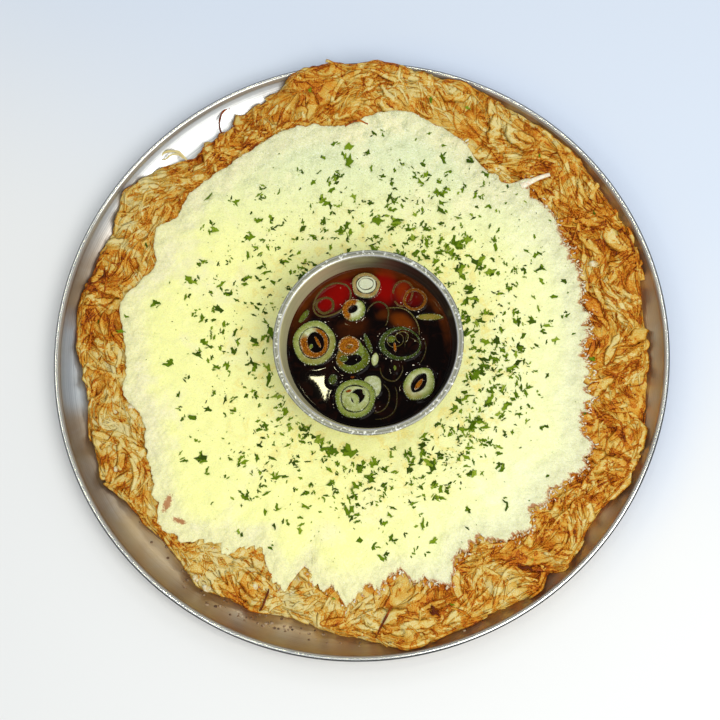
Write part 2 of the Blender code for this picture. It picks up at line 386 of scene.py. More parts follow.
# brushed steel, its lines round its centre
class Steel(Finish):
    def __init__(self, name, values):
        super().__init__(name)
        spot = self.spot()
        centre = (*values["centre"], 0)
        self.values = values
        self.away = self.vector("SUBTRACT", (spot, centre))
        level = self.vector("MULTIPLY", (self.away, (1, 1, 0)))
        self.reach = self.vector("LENGTH", (level,), 1)
        self.lines = self.make("ShaderNodeTexNoise", {"noise_dimensions": "1D"},
                               {"W": self.reach, "Scale": 1500, "Detail": 3})
        self.smear = self.noise(spot, 0.022, 4, 0.6, 0.6)
        self.fine = self.noise(spot, 0.0016, 3)
        self.body = self.blend(self.lines.between(0.35, 0.65), values["tint"], values["bright"])

    def complete(self, duller=0, smoother=0):
        self.drive("Base Color", self.body)
        self.drive("Metallic", self.values["metallic"] - duller)
        uneven = self.values["roughness"] + 0.10 * self.smear + 0.10 * self.lines + 0.05 * self.fine
        self.drive("Roughness", uneven * (1 - smoother))
        self.bump(self.lines + 0.3 * self.fine, 0.00004, 0.45)
        return self.material


trayLook = {"centre": (0, 0), "tint": (174, 177, 177), "bright": (210, 212, 210), "metallic": 0.94,
            "roughness": 0.22, "smears": (172, 162, 146), "fatFilmAndCrustReflection": (200, 174, 128),
            "shadedFilmLeft": (156, 136, 110), "filmReflectionTowards": (0.5, -0.87, 0), "clean": (170, 179, 185),
            "beadWidth": 3 * mm}


# a film of fat, with a painted reflection of the crust, lies all round but for the back left; at the left it
# is darker, as painted shade
def trayFinish():
    steel = Steel("traySteel", trayLook)
    steel.cover((0.4 * steel.smear.between(0.5, 0.7)).held(), trayLook["smears"])
    # painted reflection of the brown crust, laid on the steel as a film of fat
    filmReflectionMask = steel.along(steel.away, trayLook["filmReflectionTowards"]).between(-0.145, -0.115)
    left = steel.along(steel.away, (-1, 0, 0)).between(0.115, 0.140)
    back = steel.along(steel.away, (0, 1, 0))
    clean = left * back.between(-0.038, -0.022) * (1 - back.between(0.012, 0.028))
    # the film's colour is darker at the left: painted shade
    fatFilmAndCrustReflection = steel.blend(left, trayLook["fatFilmAndCrustReflection"], trayLook["shadedFilmLeft"])
    steel.cover((filmReflectionMask * (0.5 + 0.8 * steel.smear)).held() * (1 - 0.9 * clean), fatFilmAndCrustReflection)
    steel.cover(0.5 * clean, trayLook["clean"])
    # painted highlight and shade on the bead: a bright line along its top between dark lines, darkest on its
    # outer foot
    bead = steel.reach.between(tray["radius"] - 3.2 * mm, tray["radius"] - 2.7 * mm)
    across = (steel.reach - (tray["radius"] - trayLook["beadWidth"])) / trayLook["beadWidth"]
    steel.cover(bead, steel.ramp(across, [
        (0.00, 194, 187, 172), (0.20, 198, 194, 182), (0.33, 206, 206, 202),
        (0.43, 112, 112, 106), (0.52, 236, 236, 232), (0.66, 230, 230, 226),
        (0.78, 84, 86, 84), (1.00, 74, 76, 76)]))
    # the bead's outer foot is made less metallic so its dark colour shows: painted shade
    foot = bead * (1 - steel.reach.between(tray["radius"] - 2.3 * mm, tray["radius"] - 1.9 * mm))
    return steel.complete(duller=0.5 * foot, smoother=0.55 * bead)


def makeTray():
    middle = tray["sheet"] + tray["wallCurve"]
    slope = tray["wallSlope"]
    beadX = tray["radius"] - tray["bead"]
    beadZ = tray["height"] - tray["bead"]
    section = [(0, tray["sheet"])]
    section += [(tray["floor"] * share, tray["sheet"]) for share in (0.4, 0.7, 0.9)]
    section += arc(tray["floor"], middle, tray["wallCurve"], -90, slope - 90, 18)
    section += arc(beadX, beadZ, tray["bead"], 180, -60, 14)
    section += arc(tray["floor"], middle, middle, slope - 92, -90, 12)
    section += [(tray["floor"] * share, 0) for share in (0.9, 0.7, 0.4)]
    section.append((0, 0))
    dish = spunPiece("trayDish", section, 240)
    place(dish, trayFinish(), "tray_steel", ("tray",))


# how far the crust is fried round the dish, 0 pale to 1000 dark, as (degrees, level in thousandths)
friedRound = [(0, 460), (30, 400), (60, 370), (90, 400), (120, 420), (150, 390), (180, 370), (210, 350),
              (235, 310), (270, 380), (300, 400), (325, 400), (345, 430)]
friedPatches = [  # x and y in mm, spread in mm, how much darker
    (118, 12, 16, 0.16), (112, -66, 20, 0.10), (86, -109, 11, 0.16), (94, -119, 6, 0.35), (40, -132, 9, 0.12),
    (-148, 44, 10, 0.40), (-137, 12, 12, 0.18), (-150, 18, 8, 0.25), (96, 96, 16, 0.12), (128, 60, 18, 0.18),
    (-96, -98, 10, 0.18), (-60, -132, 9, 0.20), (-20, 146, 16, 0.10), (-84, 122, 16, 0.18),
    (138, -40, 14, 0.10),
]
palePatches = [  # x and y in mm, spread in mm, how much lighter
    (-78, -118, 12, 0.20), (-40, -138, 12, 0.25), (4, -146, 10, 0.20), (-128, 74, 11, 0.22),
    (-118, 96, 9, 0.22), (122, 40, 8, 0.20), (116, 4, 7, 0.25), (142, 22, 8, 0.20), (30, 146, 14, 0.15),
    (84, 128, 9, 0.18), (72, -128, 9, 0.20), (-128, -40, 10, 0.22), (-136, -6, 8, 0.18), (-22, -136, 9, 0.18),
]
crustPuff = Ripple(21, 14 * mm)
crustFold = Ripple(22, 5.5 * mm)
crustPatch = Ripple(23, 11 * mm)


def friedAt(x, y):
    level = outlineAt(friedRound, polar(x, y)[1]) + 0.07 * crustPatch.at(x, y)
    for patches, sign in ((friedPatches, 1), (palePatches, -1)):
        for px, py, spread, amount in patches:
            away = np.hypot(x - px * mm, y - py * mm) / (spread * mm)
            level = level + sign * amount * np.exp(-away ** 2)
    return level


# the height of the bare crust's mat: uneven, calm where the cheese lies, and rolled down at the edge
def matHeight(x, y):
    radius, degrees = polar(x, y)
    border = outlineAt(cheeseEdge, degrees)
    edge = outlineAt(crustEdge, degrees)
    bare = ease(radius, border - 6 * mm, border + 3 * mm)
    roll = crust["roll"] * np.clip((radius - edge) / crust["rollWidth"] + 1, 0, 1.2) ** 2
    relief = crust["puff"] * crustPuff.at(x, y) + crust["fold"] * crustFold.at(x, y)
    return crustTop(radius, degrees) + bare * relief - roll


def crustFinish(name):
    fried = Finish(name, Subsurface_Weight=0.08, Subsurface_Scale=0.002, Specular_IOR_Level=0.15)
    fried.shader.inputs["Subsurface Radius"].default_value = (1.0, 0.5, 0.15)
    spot = fried.spot()
    grain = fried.noise(spot, 0.0006, 4, 0.7)
    mottle = fried.noise(spot, 0.0030, 4, 0.6, 0.8)
    swirl = fried.noise(spot, 0.0105, 2, 0.5, 1.4)
    loop = fried.noise(spot, 0.0070, 1, 0.5, 1.8)
    browned = swirl.between(0.455, 0.535)
    level = fried.number("fried") - 0.15 + 0.22 * browned
    level = level + 0.18 * fried.contour(swirl, 0.53) + 0.14 * fried.contour(loop, 0.47)
    level = level + (0.9 + 0.6 * browned) * (grain - 0.5) + 0.28 * (mottle - 0.5)
    fried.body = fried.ramp(level, [
        (0.00, 222, 204, 140), (0.20, 214, 184, 96), (0.40, 208, 154, 48),
        (0.60, 196, 113, 6), (0.80, 162, 74, 0), (1.00, 92, 34, 0)])
    # painted glints: pale specks on the pale parts of the crust
    paintedGlint = fried.noise(spot, 0.0011, 2, 0.6).between(0.62, 0.70)
    fried.cover(0.5 * paintedGlint * (1 - level.between(0.2, 0.5)), (238, 224, 180))
    fried.drive("Base Color", fried.body)
    fried.drive("Roughness", (0.50 - 0.40 * mottle.between(0.42, 0.70)).held())
    fried.bump(0.8 * grain + 0.8 * mottle, 0.0006, 0.75)
    return fried.material


def makeCore(finish):
    steps = 540
    shares = [*np.linspace(0.02, 0.70, 12), *np.linspace(0.715, 0.93, 34), *np.linspace(0.94, 0.99, 8)]
    angle = wholeTurn(steps)
    degrees = np.degrees(angle)
    limit = outlineAt(crustEdge, degrees) - 1.8 * mm + 0.5 * mm * crustFold.at(*onRing(90 * mm, angle))
    rows = []
    for share in shares:
        height = matHeight(*onRing(share * limit, angle)) - 0.3 * mm
        rows.append(ringRow(share * limit, angle, height))
    rim = rows[-1]
    low = crustUnderside(limit * 0.985, degrees)
    for turn in np.linspace(0.2, 0.8, 4) * math.pi:
        radius = limit * (0.99 + 0.012 * math.sin(turn))
        share = (1 - math.cos(turn)) / 2
        rows.append(ringRow(radius, angle, rim[:, 2] * (1 - share) + low * share))
    for share in (0.985, 0.95, 0.88, 0.7, 0.4, 0.02):
        rows.append(ringRow(share * limit, angle, crustUnderside(share * limit, degrees)))
    points = np.concatenate(rows)
    fried = friedAt(points[:, 0], points[:, 1]) + 0.02
    core = meshOf("pancakeCore", points, ringQuads(len(rows), steps), {"fried": fried})
    cleanMesh(core, bpy.ops.mesh.fill_holes, sides=0)
    place(core, finish, "fried_potato", ("pancake",))


# four-sided faces between rings of points, facing out when the rings run from the top centre down
def ringQuads(rows, steps):
    first = np.arange(rows - 1)[:, None] * steps
    here = np.arange(steps)[None, :]
    after = (here + 1) % steps
    quads = [first + here, first + steps + here, first + steps + after, first + after]
    return np.stack(quads, -1).reshape(-1, 4)


# shreds: how many, their sides, length and width in mm, flatness, lift over the mat in mm,
# how far they stray from the lie of the mat, how they curl, their frying, that of their edges, and
# the crust's frying below and above which they are rare and plenty
shreds = {
    "ribbon": {"count": 620, "sides": 6, "length": (11, 28), "width": (1.8, 4.0), "flat": 0.20,
               "lift": (-0.2, 0.35), "stray": 0.34, "curl": 0.05, "tone": -0.12, "edge": 0.36,
               "where": (0.75, 0.2)},
    "golden": {"count": 800, "sides": 4, "length": (12, 30), "width": (1.0, 1.9), "flat": 0.6,
               "lift": (-0.45, 0.30), "stray": 0.28, "curl": 0.06, "tone": 0.0, "edge": 0.12,
               "where": (0.1, 0.4)},
    "browned": {"count": 1000, "sides": 4, "length": (8, 24), "width": (0.65, 1.3), "flat": 0.7,
                "lift": (-0.15, 0.60), "stray": 0.4, "curl": 0.09, "tone": 0.20, "edge": 0.0,
                "where": (0.15, 0.5)},
}
# points along each shred, its waver and unevenness, and how its browning varies
mat = {"points": 9, "waver": 0.25 * mm, "uneven": 0.15, "twist": 0.5, "toneSpread": 0.07, "toneWave": 0.08}
flats = {"seed": 14, "count": 170, "long": (8, 20), "slim": (0.20, 0.5), "lift": (0.1, 0.5), "stray": 0.35,
         "bow": 0.25, "thick": 0.7 * mm, "outline": (0.6, 1.0), "outlineTone": 0.17}
matSwirl = Ripple(51, 42 * mm, 7)


# the direction in which the mat's shreds lie: round the dish, with swirls
def matDirection(x, y):
    return np.arctan2(y, x) + math.pi / 2 + 0.65 * matSwirl.at(x, y)


def bareSpots(draw, count):
    degrees = draw.uniform(0, 360, count)
    inner = outlineAt(cheeseEdge, degrees) - 3 * mm
    outer = outlineAt(crustEdge, degrees) - 1 * mm
    radius = np.sqrt(inner ** 2 + (outer ** 2 - inner ** 2) * draw.uniform(0, 1, count))
    return onRing(radius, np.radians(degrees))


# a shred that would pass the crust's edge turns along it
def keepInside(x, y, margin):
    radius, degrees = polar(x, y)
    limit = outlineAt(crustEdge, degrees) - margin
    over = np.maximum(radius - limit, 0)
    most = 1.2 * mm
    scale = np.where(over > 0, (limit + most * np.tanh(0.25 * over / most)) / np.maximum(radius, 1e-6), 1)
    return x * scale, y * scale


def growRoutes(draw, kind):
    count, (rare, plenty) = kind["count"], kind["where"]
    x, y = bareSpots(draw, 4 * count)
    wanted = 0.15 + 0.85 * ease((friedAt(x, y) - rare) / (plenty - rare), 0, 1)
    chosen = np.flatnonzero(draw.uniform(0, 1, 4 * count) < wanted)[:count]
    x, y = x[chosen], y[chosen]
    count = len(chosen)
    step = draw.uniform(*kind["length"], count) * mm / (mat["points"] - 1)
    stray = draw.normal(0, kind["stray"], count)
    curl = draw.normal(0, kind["curl"], count)
    heading = matDirection(x, y) + stray
    xs, ys = [], []
    for _ in range(mat["points"]):
        xs.append(x)
        ys.append(y)
        follow = matDirection(x, y) + stray
        heading = heading + 0.35 * np.sin(follow - heading) + curl * step / mm
        x = x + step * np.cos(heading)
        y = y + step * np.sin(heading)
    return keepInside(np.stack(xs, 1), np.stack(ys, 1), draw.uniform(0.8, 3.0, (count, 1)) * mm)


# a round of points about each route: routes (m, n, 3), width and thickness (m, n)
def strandPoints(routes, width, thick, sides, roll):
    along = np.gradient(routes, axis=1)
    along /= np.linalg.norm(along, axis=2, keepdims=True) + 1e-12
    side = np.cross(along, (0, 0, 1))
    side /= np.linalg.norm(side, axis=2, keepdims=True) + 1e-12
    up = np.cross(side, along)
    leaning = side * np.cos(roll)[:, :, None] + up * np.sin(roll)[:, :, None]
    upright = up * np.cos(roll)[:, :, None] - side * np.sin(roll)[:, :, None]
    turn = wholeTurn(sides)
    across = np.cos(turn)[:, None] * leaning[:, :, None, :] * width[:, :, None, None] / 2
    rise = np.sin(turn)[:, None] * upright[:, :, None, :] * thick[:, :, None, None] / 2
    return routes[:, :, None, :] + across + rise


def strandQuads(strands, count, sides):
    base = np.arange(strands)[:, None, None] * count * sides
    ring = np.arange(count - 1)[None, :, None] * sides
    here = base + ring + np.arange(sides)
    after = base + ring + (np.arange(sides) + 1) % sides
    body = np.stack([here, after, sides + after, sides + here], -1).reshape(-1, 4)
    caps = np.array([(i, sides - 1 - i, sides - 2 - i, i + 1) for i in range(sides // 2 - 1)])
    first = (base + caps[None]).reshape(-1, 4)
    final = (base + (count - 1) * sides + caps[None, :, ::-1]).reshape(-1, 4)
    return np.concatenate([body, first, final])


# strands along the routes (x, y, z), with a number at each of their points
def makeStrands(name, route, width, thick, sides, fried, finish, roll=0, slot="fried_potato", key="fried"):
    rings = strandPoints(np.stack(route, 2), width, thick, sides, roll + 0 * width)
    numbers = np.broadcast_to(fried, rings.shape[:3]).reshape(-1)
    piece = meshOf(name, rings.reshape(-1, 3), strandQuads(*width.shape, sides), {key: numbers})
    place(piece, finish, slot)


# the height of a shred's middle line, kept under the cheese and over the tray
def shredHeight(x, y, lift):
    radius, degrees = polar(x, y)
    border = outlineAt(cheeseEdge, degrees)
    free = ease(radius, border - 2 * mm, border + 4 * mm)
    height = matHeight(x, y) - 0.9 * mm * (1 - free) + (lift - 0.25 * mm) * free
    return np.maximum(height, crustUnderside(radius, degrees) + 0.7 * mm)


def taper(points, tip):
    along = np.linspace(0, 1, points)
    return tip + (1 - tip) * np.sin(math.pi * np.clip(along, 0.02, 0.98)) ** 0.45


def makeShreds(finish):
    for index, (name, kind) in enumerate(shreds.items()):
        draw = np.random.default_rng(500 + index)
        x, y = growRoutes(draw, kind)
        count = len(x)
        along = np.linspace(0, 1, mat["points"])
        lift = draw.uniform(*kind["lift"], (count, 1)) * mm * taper(mat["points"], 0.1)
        lift = lift + mat["waver"] * waves(draw, along, 2, 7, count)
        width = draw.uniform(*kind["width"], (count, 1)) * mm * taper(mat["points"], 0.3)
        width = width * (1 + mat["uneven"] * waves(draw, along, 4, 12, count))
        roll = draw.normal(0, 0.25, (count, 1))
        roll = roll + mat["twist"] * draw.normal(0, 1, (count, 1)) * (along - 0.5)
        tone = kind["tone"] + draw.normal(0, mat["toneSpread"], (count, 1))
        level = friedAt(x, y) + tone + mat["toneWave"] * waves(draw, along, 3, 9, count)
        fried = level[:, :, None] + kind["edge"] * np.cos(wholeTurn(kind["sides"])) ** 4
        makeStrands(name + "Shreds", (x, y, shredHeight(x, y, lift)), width, width * kind["flat"],
                    kind["sides"], fried, finish, roll)


# broad thin flakes of potato, each with a browned thread round its edge
def makeFlats(finish):
    draw = np.random.default_rng(flats["seed"])
    count = flats["count"]
    middleX, middleY = [row[:, None] for row in bareSpots(draw, count)]
    half = draw.uniform(*flats["long"], (count, 1)) / 2 * mm
    slim = draw.uniform(*flats["slim"], (count, 1))
    heading = matDirection(middleX, middleY) + draw.normal(0, flats["stray"], (count, 1))
    bow = draw.normal(0, flats["bow"], (count, 1))
    lift = draw.uniform(*flats["lift"], (count, 1)) * mm

    def onFlat(ahead, beside):
        beside = beside + bow * half * (1 - (ahead / half) ** 2)
        x = middleX + ahead * np.cos(heading) - beside * np.sin(heading)
        y = middleY + ahead * np.sin(heading) + beside * np.cos(heading)
        return keepInside(x, y, 1.5 * mm)

    points, sides = 9, 6
    ahead = np.cos(np.linspace(math.pi, 0, points)) * half
    x, y = onFlat(ahead, 0 * ahead)
    body = np.sqrt(np.clip(1 - (ahead / half) ** 2, 0.004, 1))
    width = 2 * half * slim * body * (1 + 0.25 * np.sin(ahead / mm * 1.1 + 9 * bow))
    level = 0.6 * friedAt(x, y) + draw.normal(0, 0.06, (count, 1))
    fried = level[:, :, None] + 0.35 * np.cos(wholeTurn(sides)) ** 4
    route = x, y, shredHeight(x, y, lift * np.ones(points))
    makeStrands("paleFlats", route, width, flats["thick"] * body, sides, fried, finish)

    points = 14
    begin = draw.uniform(0, 2 * math.pi, (count, 1))
    sweep = draw.uniform(2.5, 5.6, (count, 1)) * draw.choice([-1, 1], (count, 1))
    turn = begin + sweep * np.linspace(0, 1, points)
    grow = draw.uniform(0.96, 1.15, (count, 1))
    x, y = onFlat(grow * np.cos(turn) * half, grow * np.sin(turn) * half * slim)
    width = draw.uniform(*flats["outline"], (count, 1)) * mm * taper(points, 0.3)
    route = x, y, shredHeight(x, y, lift + 0.25 * mm * taper(points, 0.0))
    fried = (friedAt(x, y) + flats["outlineTone"] + draw.normal(0, 0.08, (count, 1)))[:, :, None]
    makeStrands("flatOutlines", route, width, width * 0.8, 4, fried, finish)


# shreds that lie along the rolled edge, over the crust's side
edgeShreds = {"seed": 15, "count": 420, "points": 13, "length": (12, 34), "width": (0.8, 1.6), "tone": 0.10,
              "round": 2.2 * mm, "under": 1.2 * mm, "waver": 0.5 * mm}


def makeEdgeShreds(finish):
    draw = np.random.default_rng(edgeShreds["seed"])
    count, points = edgeShreds["count"], edgeShreds["points"]
    along = np.linspace(-0.5, 0.5, points)
    degrees = draw.uniform(0, 360, (count, 1))
    reach = draw.uniform(*edgeShreds["length"], (count, 1)) * mm
    degrees = degrees + np.degrees(reach * along / (155 * mm))
    edge = outlineAt(crustEdge, degrees)
    down = np.clip(draw.uniform(0, 1, (count, 1)) + 0.15 * waves(draw, along, 2, 8, count), 0, 1)
    rolled = edgeShreds["round"] * np.cos(math.pi / 2 * np.clip(down * 1.3, 0, 1))
    rolled = rolled + edgeShreds["under"] * down ** 3
    radius = edge - 0.7 * mm - rolled + edgeShreds["waver"] * waves(draw, along, 3, 14, count)
    x, y = onRing(radius, np.radians(degrees))
    top = matHeight(*onRing(0.975 * edge, np.radians(degrees)))
    low = crustUnderside(radius, degrees) + 0.7 * mm
    width = draw.uniform(*edgeShreds["width"], (count, 1)) * mm * taper(points, 0.3)
    fried = (friedAt(x, y) + edgeShreds["tone"] + draw.normal(0, 0.10, (count, 1)))[:, :, None]
    makeStrands("edgeShreds", (x, y, top + (low - top) * down), width, width * 0.7, 4, fried, finish)


# shreds that stand off by themselves: their course in mm, height over the crust or the tray, width, frying
straysOut = [
    ([(-76.6, 125.4), (-77.9, 127.6), (-78.3, 131.3), (-78.1, 135), (-77.3, 138), (-76, 140.2),
      (-74.4, 141.3), (-72.8, 141.4)], [10, 10.5, 10, 9, 8.5, 8, 7.5, 7.5], 1.1, 1.05),
    ([(-96, 110), (-98, 112), (-99.7, 114.4), (-102, 115.3), (-104.9, 115.7), (-108.3, 116), (-110.5, 115),
      (-111.6, 112.8)], [9.5, 10, 10.5, 10.2, 9.5, 8.5, 7.5, 6.5], 1.5, -0.15),
    ([(-98, 111), (-99.7, 113), (-102.6, 114), (-105.4, 113.4), (-107, 112.4), (-108.7, 111.3),
      (-110.4, 111.8)], [9.5, 10, 10, 9.5, 8.5, 7.5, 6.5], 1.1, 0.0),
    ([(-46, -128), (-46.4, -130.1), (-47.9, -133.7), (-49.4, -137.7), (-51, -139)],
     [12, 12.6, 12.4, 11.6, 10.6], 1.1, 1.1),
    ([(17.6, -137), (16.5, -139), (12.8, -145.6), (8.9, -152.8)], [12.2, 12.8, 12.4, 9.6], 1.2, 1.0),
    ([(37.5, -137), (39, -138.4), (38.4, -140.4), (40.4, -140.4), (41.6, -142)],
     [12.4, 12.8, 12.9, 12.6, 12], 1.6, 1.3),
    ([(36.8, -140), (38.6, -141.6), (40.8, -139.2)], [12.3, 12.9, 12.5], 1.2, 1.35),
    ([(82, -117), (84.7, -118.6), (87, -117.4), (89.4, -119.4)], [12.2, 12.8, 12.8, 12], 1.6, 1.25),
    ([(88, -127), (90.6, -128.6), (93.4, -127.2)], [11.6, 12.2, 11.4], 1.5, 1.25),
    ([(-7.1, 126.4), (-3.2, 128.8), (1.2, 129.4), (5.6, 127.4)], [13.6, 14.4, 14.4, 13.4], 1.3, 0.75),
]


def makeStrays(finish):
    steps = np.arange(16)
    for index, (course, heights, width, fried) in enumerate(straysOut):
        knots = np.column_stack([course, heights]) * mm
        along = np.linspace(0, len(knots) - 1, len(steps))
        line = np.stack([np.interp(along, np.arange(len(knots)), axis) for axis in knots.T])
        for _ in range(2):        # two rounds of evening out
            line[:, 1:-1] = (line[:, :-2] + 2 * line[:, 1:-1] + line[:, 2:]) / 4
        width = (width * mm * taper(len(steps), 0.45) * (1 + 0.15 * np.sin(steps * 1.3 + index)))[None]
        makeStrands("strayShred", line[:, None], width, width * 0.7, 8, fried, finish)


# tongues of cheese: direction, reach in mm, spread in degrees
cheeseDrips = [(45, 8.5, 2.0), (52, 3, 1.2), (249, 4, 1.6), (259, 4, 1.4), (336, 7, 1.2), (268, 3, 1.8),
               (291, 4, 1.6), (284, 3, 1.2), (313, 3, 1.4), (8, 2, 1.7), (222, 3, 1.7), (238, 4, 1.2)]
# places where the crust shows through: middle, spread across and along in mm, turn, how plainly
cheeseGaps = [((-100.6, -83.4), (2.8, 6.5), -25, 1.0), ((-93.5, -92.5), (2.2, 7.0), 70, 0.9),
              ((92.5, 88.4), (2.2, 4), 60, 0.8)]
cheeseRoll = Ripple(31, 26 * mm)
cheeseLump = Ripple(32, 9 * mm)
cheeseCurd = Ripple(33, 3.4 * mm)
# unevenness of the cheese's border: seed, length and height in mm
cheeseRough = [(44, 60, 0.8), (45, 25, 0.6), (46, 11, 0.7), (47, 5, 0.6), (48, 2.6, 0.4)]


# the cheese's border: ragged at the front and the right, smoother at the back and the left
def cheeseLimit(degrees):
    angle = np.radians(degrees)
    ragged = 0.35 + 1.25 * ease(np.cos(angle - math.radians(300)), -0.3, 0.7)
    edge = outlineAt(cheeseEdge, degrees)
    for seed, length, amount in cheeseRough:
        edge = edge + amount * mm * ragged * Ripple(seed, length * mm).at(*onRing(128 * mm, angle))
    for at, reach, spread in cheeseDrips:
        gap = (degrees - at + 180) % 360 - 180
        edge = edge + reach * mm * np.exp(-(gap / spread) ** 2)
    return edge


def fromBowl(x, y):
    return x - bowl["centre"][0], y - bowl["centre"][1]


def cheeseHeight(x, y):
    radius, degrees = polar(x, y)
    share = radius / outlineAt(cheeseEdge, degrees)
    calm = ease(np.hypot(*fromBowl(x, y)), 38 * mm, 52 * mm)
    border = ease(share, 0.80, 0.985)
    thin = 0.25 + 0.4 * ease(np.cos(np.radians(degrees - 300)), -0.2, 0.6)
    body = cheese["thickness"] * (1 - thin * border)
    relief = cheese["roll"] * cheeseRoll.at(x, y)
    for wave, (middle, more) in ((cheeseLump, cheese["lump"]), (cheeseCurd, cheese["curd"])):
        relief = relief + (middle + more * border) * wave.at(x, y)
    return crustTop(radius, degrees) + cheese["gap"] + body + calm * relief


# the sheet's numbers: towards its border, near the bowl, at the back, where the crust shows, where it is
# thin, and at the right
cheeseNumbers = ("rim", "warm", "cool", "lacy", "thin", "right")


def cheeseFinish():
    melted = Finish("meltedCheese", Subsurface_Weight=0.10, Subsurface_Scale=0.002, Specular_IOR_Level=0.55)
    melted.shader.inputs["Subsurface Radius"].default_value = (1.0, 0.8, 0.35)
    spot = melted.spot()
    cloud = melted.noise(spot, 0.024, 4, 0.6, 0.5)
    patch = melted.noise(spot, 0.0065, 4, 0.6, 0.7)
    grain = melted.noise(spot, 0.0008, 3, 0.65)
    crack = melted.noise(spot, 0.0030, 5, 0.7, 1.2)
    speck = melted.noise(spot, 0.0007, 2, 0.7)
    rim, warm, cool, lacy, thin, right = [melted.number(name) for name in cheeseNumbers]
    melted.body = melted.blend(cool, (247, 246, 158), (222, 230, 182))
    melted.cover(0.55 * right, (238, 243, 196))
    pale = (0.65 * rim.between(0.0, 0.9) + 0.7 * cloud.between(0.50, 0.68) * (1 - 0.6 * warm)).held()
    melted.cover(pale, melted.blend(right, (244, 238, 184), (240, 242, 198)))
    melted.cover(0.75 * (warm * patch.between(0.50, 0.64)).held(), (252, 232, 122))
    dull = (0.20 + 0.65 * cool) * patch.between(0.48, 0.64) * grain.between(0.35, 0.6)
    melted.cover(dull.held(), (188, 196, 142))
    melted.cover((0.30 * rim * grain.between(0.50, 0.62)).held(), (206, 206, 170))
    melted.cover((0.45 * crack.between(0.64, 0.70)).held(), (150, 158, 96))
    # painted glints: near-white specks, most at the back and where the cheese is thin
    melted.cover((0.15 + 0.45 * cool + 0.7 * thin).held() * speck.between(0.56, 0.66), (252, 253, 242))
    melted.cover((0.24 + 0.30 * cool) * (1 - speck.between(0.36, 0.46)), (186, 192, 142))
    melted.cover((0.5 * thin * (0.45 + 1.1 * patch) * (0.7 + 0.6 * grain)).held(), (184, 174, 130))
    through = (lacy + 0.9 * (patch - 0.5) + 0.9 * (grain - 0.5)).between(0.52, 0.80)
    melted.cover(0.9 * through, (168, 98, 34))
    melted.drive("Base Color", melted.body)
    melted.drive("Roughness", (0.20 + 0.4 * patch - 0.08 * rim).held())
    melted.bump(patch + (0.5 + 0.6 * rim) * grain + 0.4 * crack, 0.0007, 0.65)
    return melted.material


def makeCheese(finish):
    steps = 1080
    angle = wholeTurn(steps)
    degrees = np.degrees(angle)
    limit = cheeseLimit(degrees)
    shares = [*np.linspace(0.02, 0.30, 5), *np.linspace(0.33, 0.78, 36), *np.linspace(0.79, 0.985, 36)]
    rows = []
    rims = []
    for share in shares:
        radius = share * limit
        rows.append(ringRow(radius, angle, cheeseHeight(*onRing(radius, angle))))
        rims.append(ease(radius / outlineAt(cheeseEdge, degrees), 0.84, 0.97))
    top = rows[-1][:, 2]
    bed = crustTop(limit, degrees) + 0.25 * mm
    for turn in np.linspace(0.15, 0.85, 5) * math.pi:
        share = (1 - math.cos(turn)) / 2
        radius = limit * 0.985 + 0.9 * mm * math.sin(turn) + limit * 0.006
        rows.append(ringRow(radius, angle, top * (1 - share) + bed * share))
        rims.append(np.ones(steps))
    for share in (0.98, 0.9, 0.5, 0.02):
        rows.append(ringRow(share * limit, angle, crustTop(share * limit, degrees) + 0.2 * mm))
        rims.append(np.ones(steps))
    points = np.concatenate(rows)
    x, y = points[:, 0], points[:, 1]
    reach, around = polar(x, y)
    warm = 1 - ease(np.hypot(*fromBowl(x, y)), 56 * mm, 105 * mm)
    cool = ease(y + 0.15 * x, 35 * mm, 125 * mm)
    inward = reach / outlineAt(cheeseEdge, around)
    away = reach / cheeseLimit(around)
    lacy = 0.8 * ease(away, 0.955, 1.0) * (0.35 + 0.65 * ease(np.cos(np.radians(around - 335)), -0.2, 0.8))
    for middle, spread, turn, amount in cheeseGaps:
        lacy = np.maximum(lacy, amount * np.exp(-ovalShare(x, y, middle, spread, turn) ** 2))
    thin = 0.35 * ease(inward, 0.75, 0.98) + 0.25 * ease(inward, 0.92, 1.0) + 0.4 * ease(away, 0.97, 1.0)
    thin = thin * (0.42 + 0.55 * ease(np.cos(np.radians(around - 345)), -0.1, 0.9))
    right = ease(x - 0.3 * y, 20 * mm, 110 * mm)
    numbers = dict(zip(cheeseNumbers, (np.concatenate(rims), warm, cool, lacy, thin, right)))
    sheet = meshOf("meltedSheet", points, ringQuads(len(rows), steps), numbers)
    cleanMesh(sheet, bpy.ops.mesh.fill_holes, sides=0)
    place(sheet, finish, "melted_cheese", ("cheese",))


# threads and scraps of cheese at the border, most at the front and the right
cheeseThreads = {"seed": 75, "count": 560, "points": 6, "length": (0.8, 3.0), "width": (0.5, 1.2),
                 "stray": 1.5, "towards": (290, 335, 350, 15), "spread": 20, "turn": 0.9, "bend": 0.35}
longThread = [  # x, y and width in mm
    (89, 89, 4.4), (91.3, 89.9, 3.7), (95.7, 92.1, 3.0), (99.1, 93.9, 2.6), (101.8, 94.9, 2.5),
    (105.1, 95.7, 2.2)]


def scrapFinish():
    scrap = Finish("cheeseScraps", Roughness=0.25, Subsurface_Weight=0.15, Subsurface_Scale=0.001)
    mottle = scrap.noise(scrap.spot(), 0.0012, 3, 0.6)
    scrap.drive("Base Color", scrap.ramp((0.6 * scrap.number("tone") + mottle - 0.3).held(), [
        (0.15, 178, 112, 60), (0.35, 204, 166, 116), (0.6, 226, 212, 178),
        (0.85, 240, 236, 214)]))
    return scrap.material


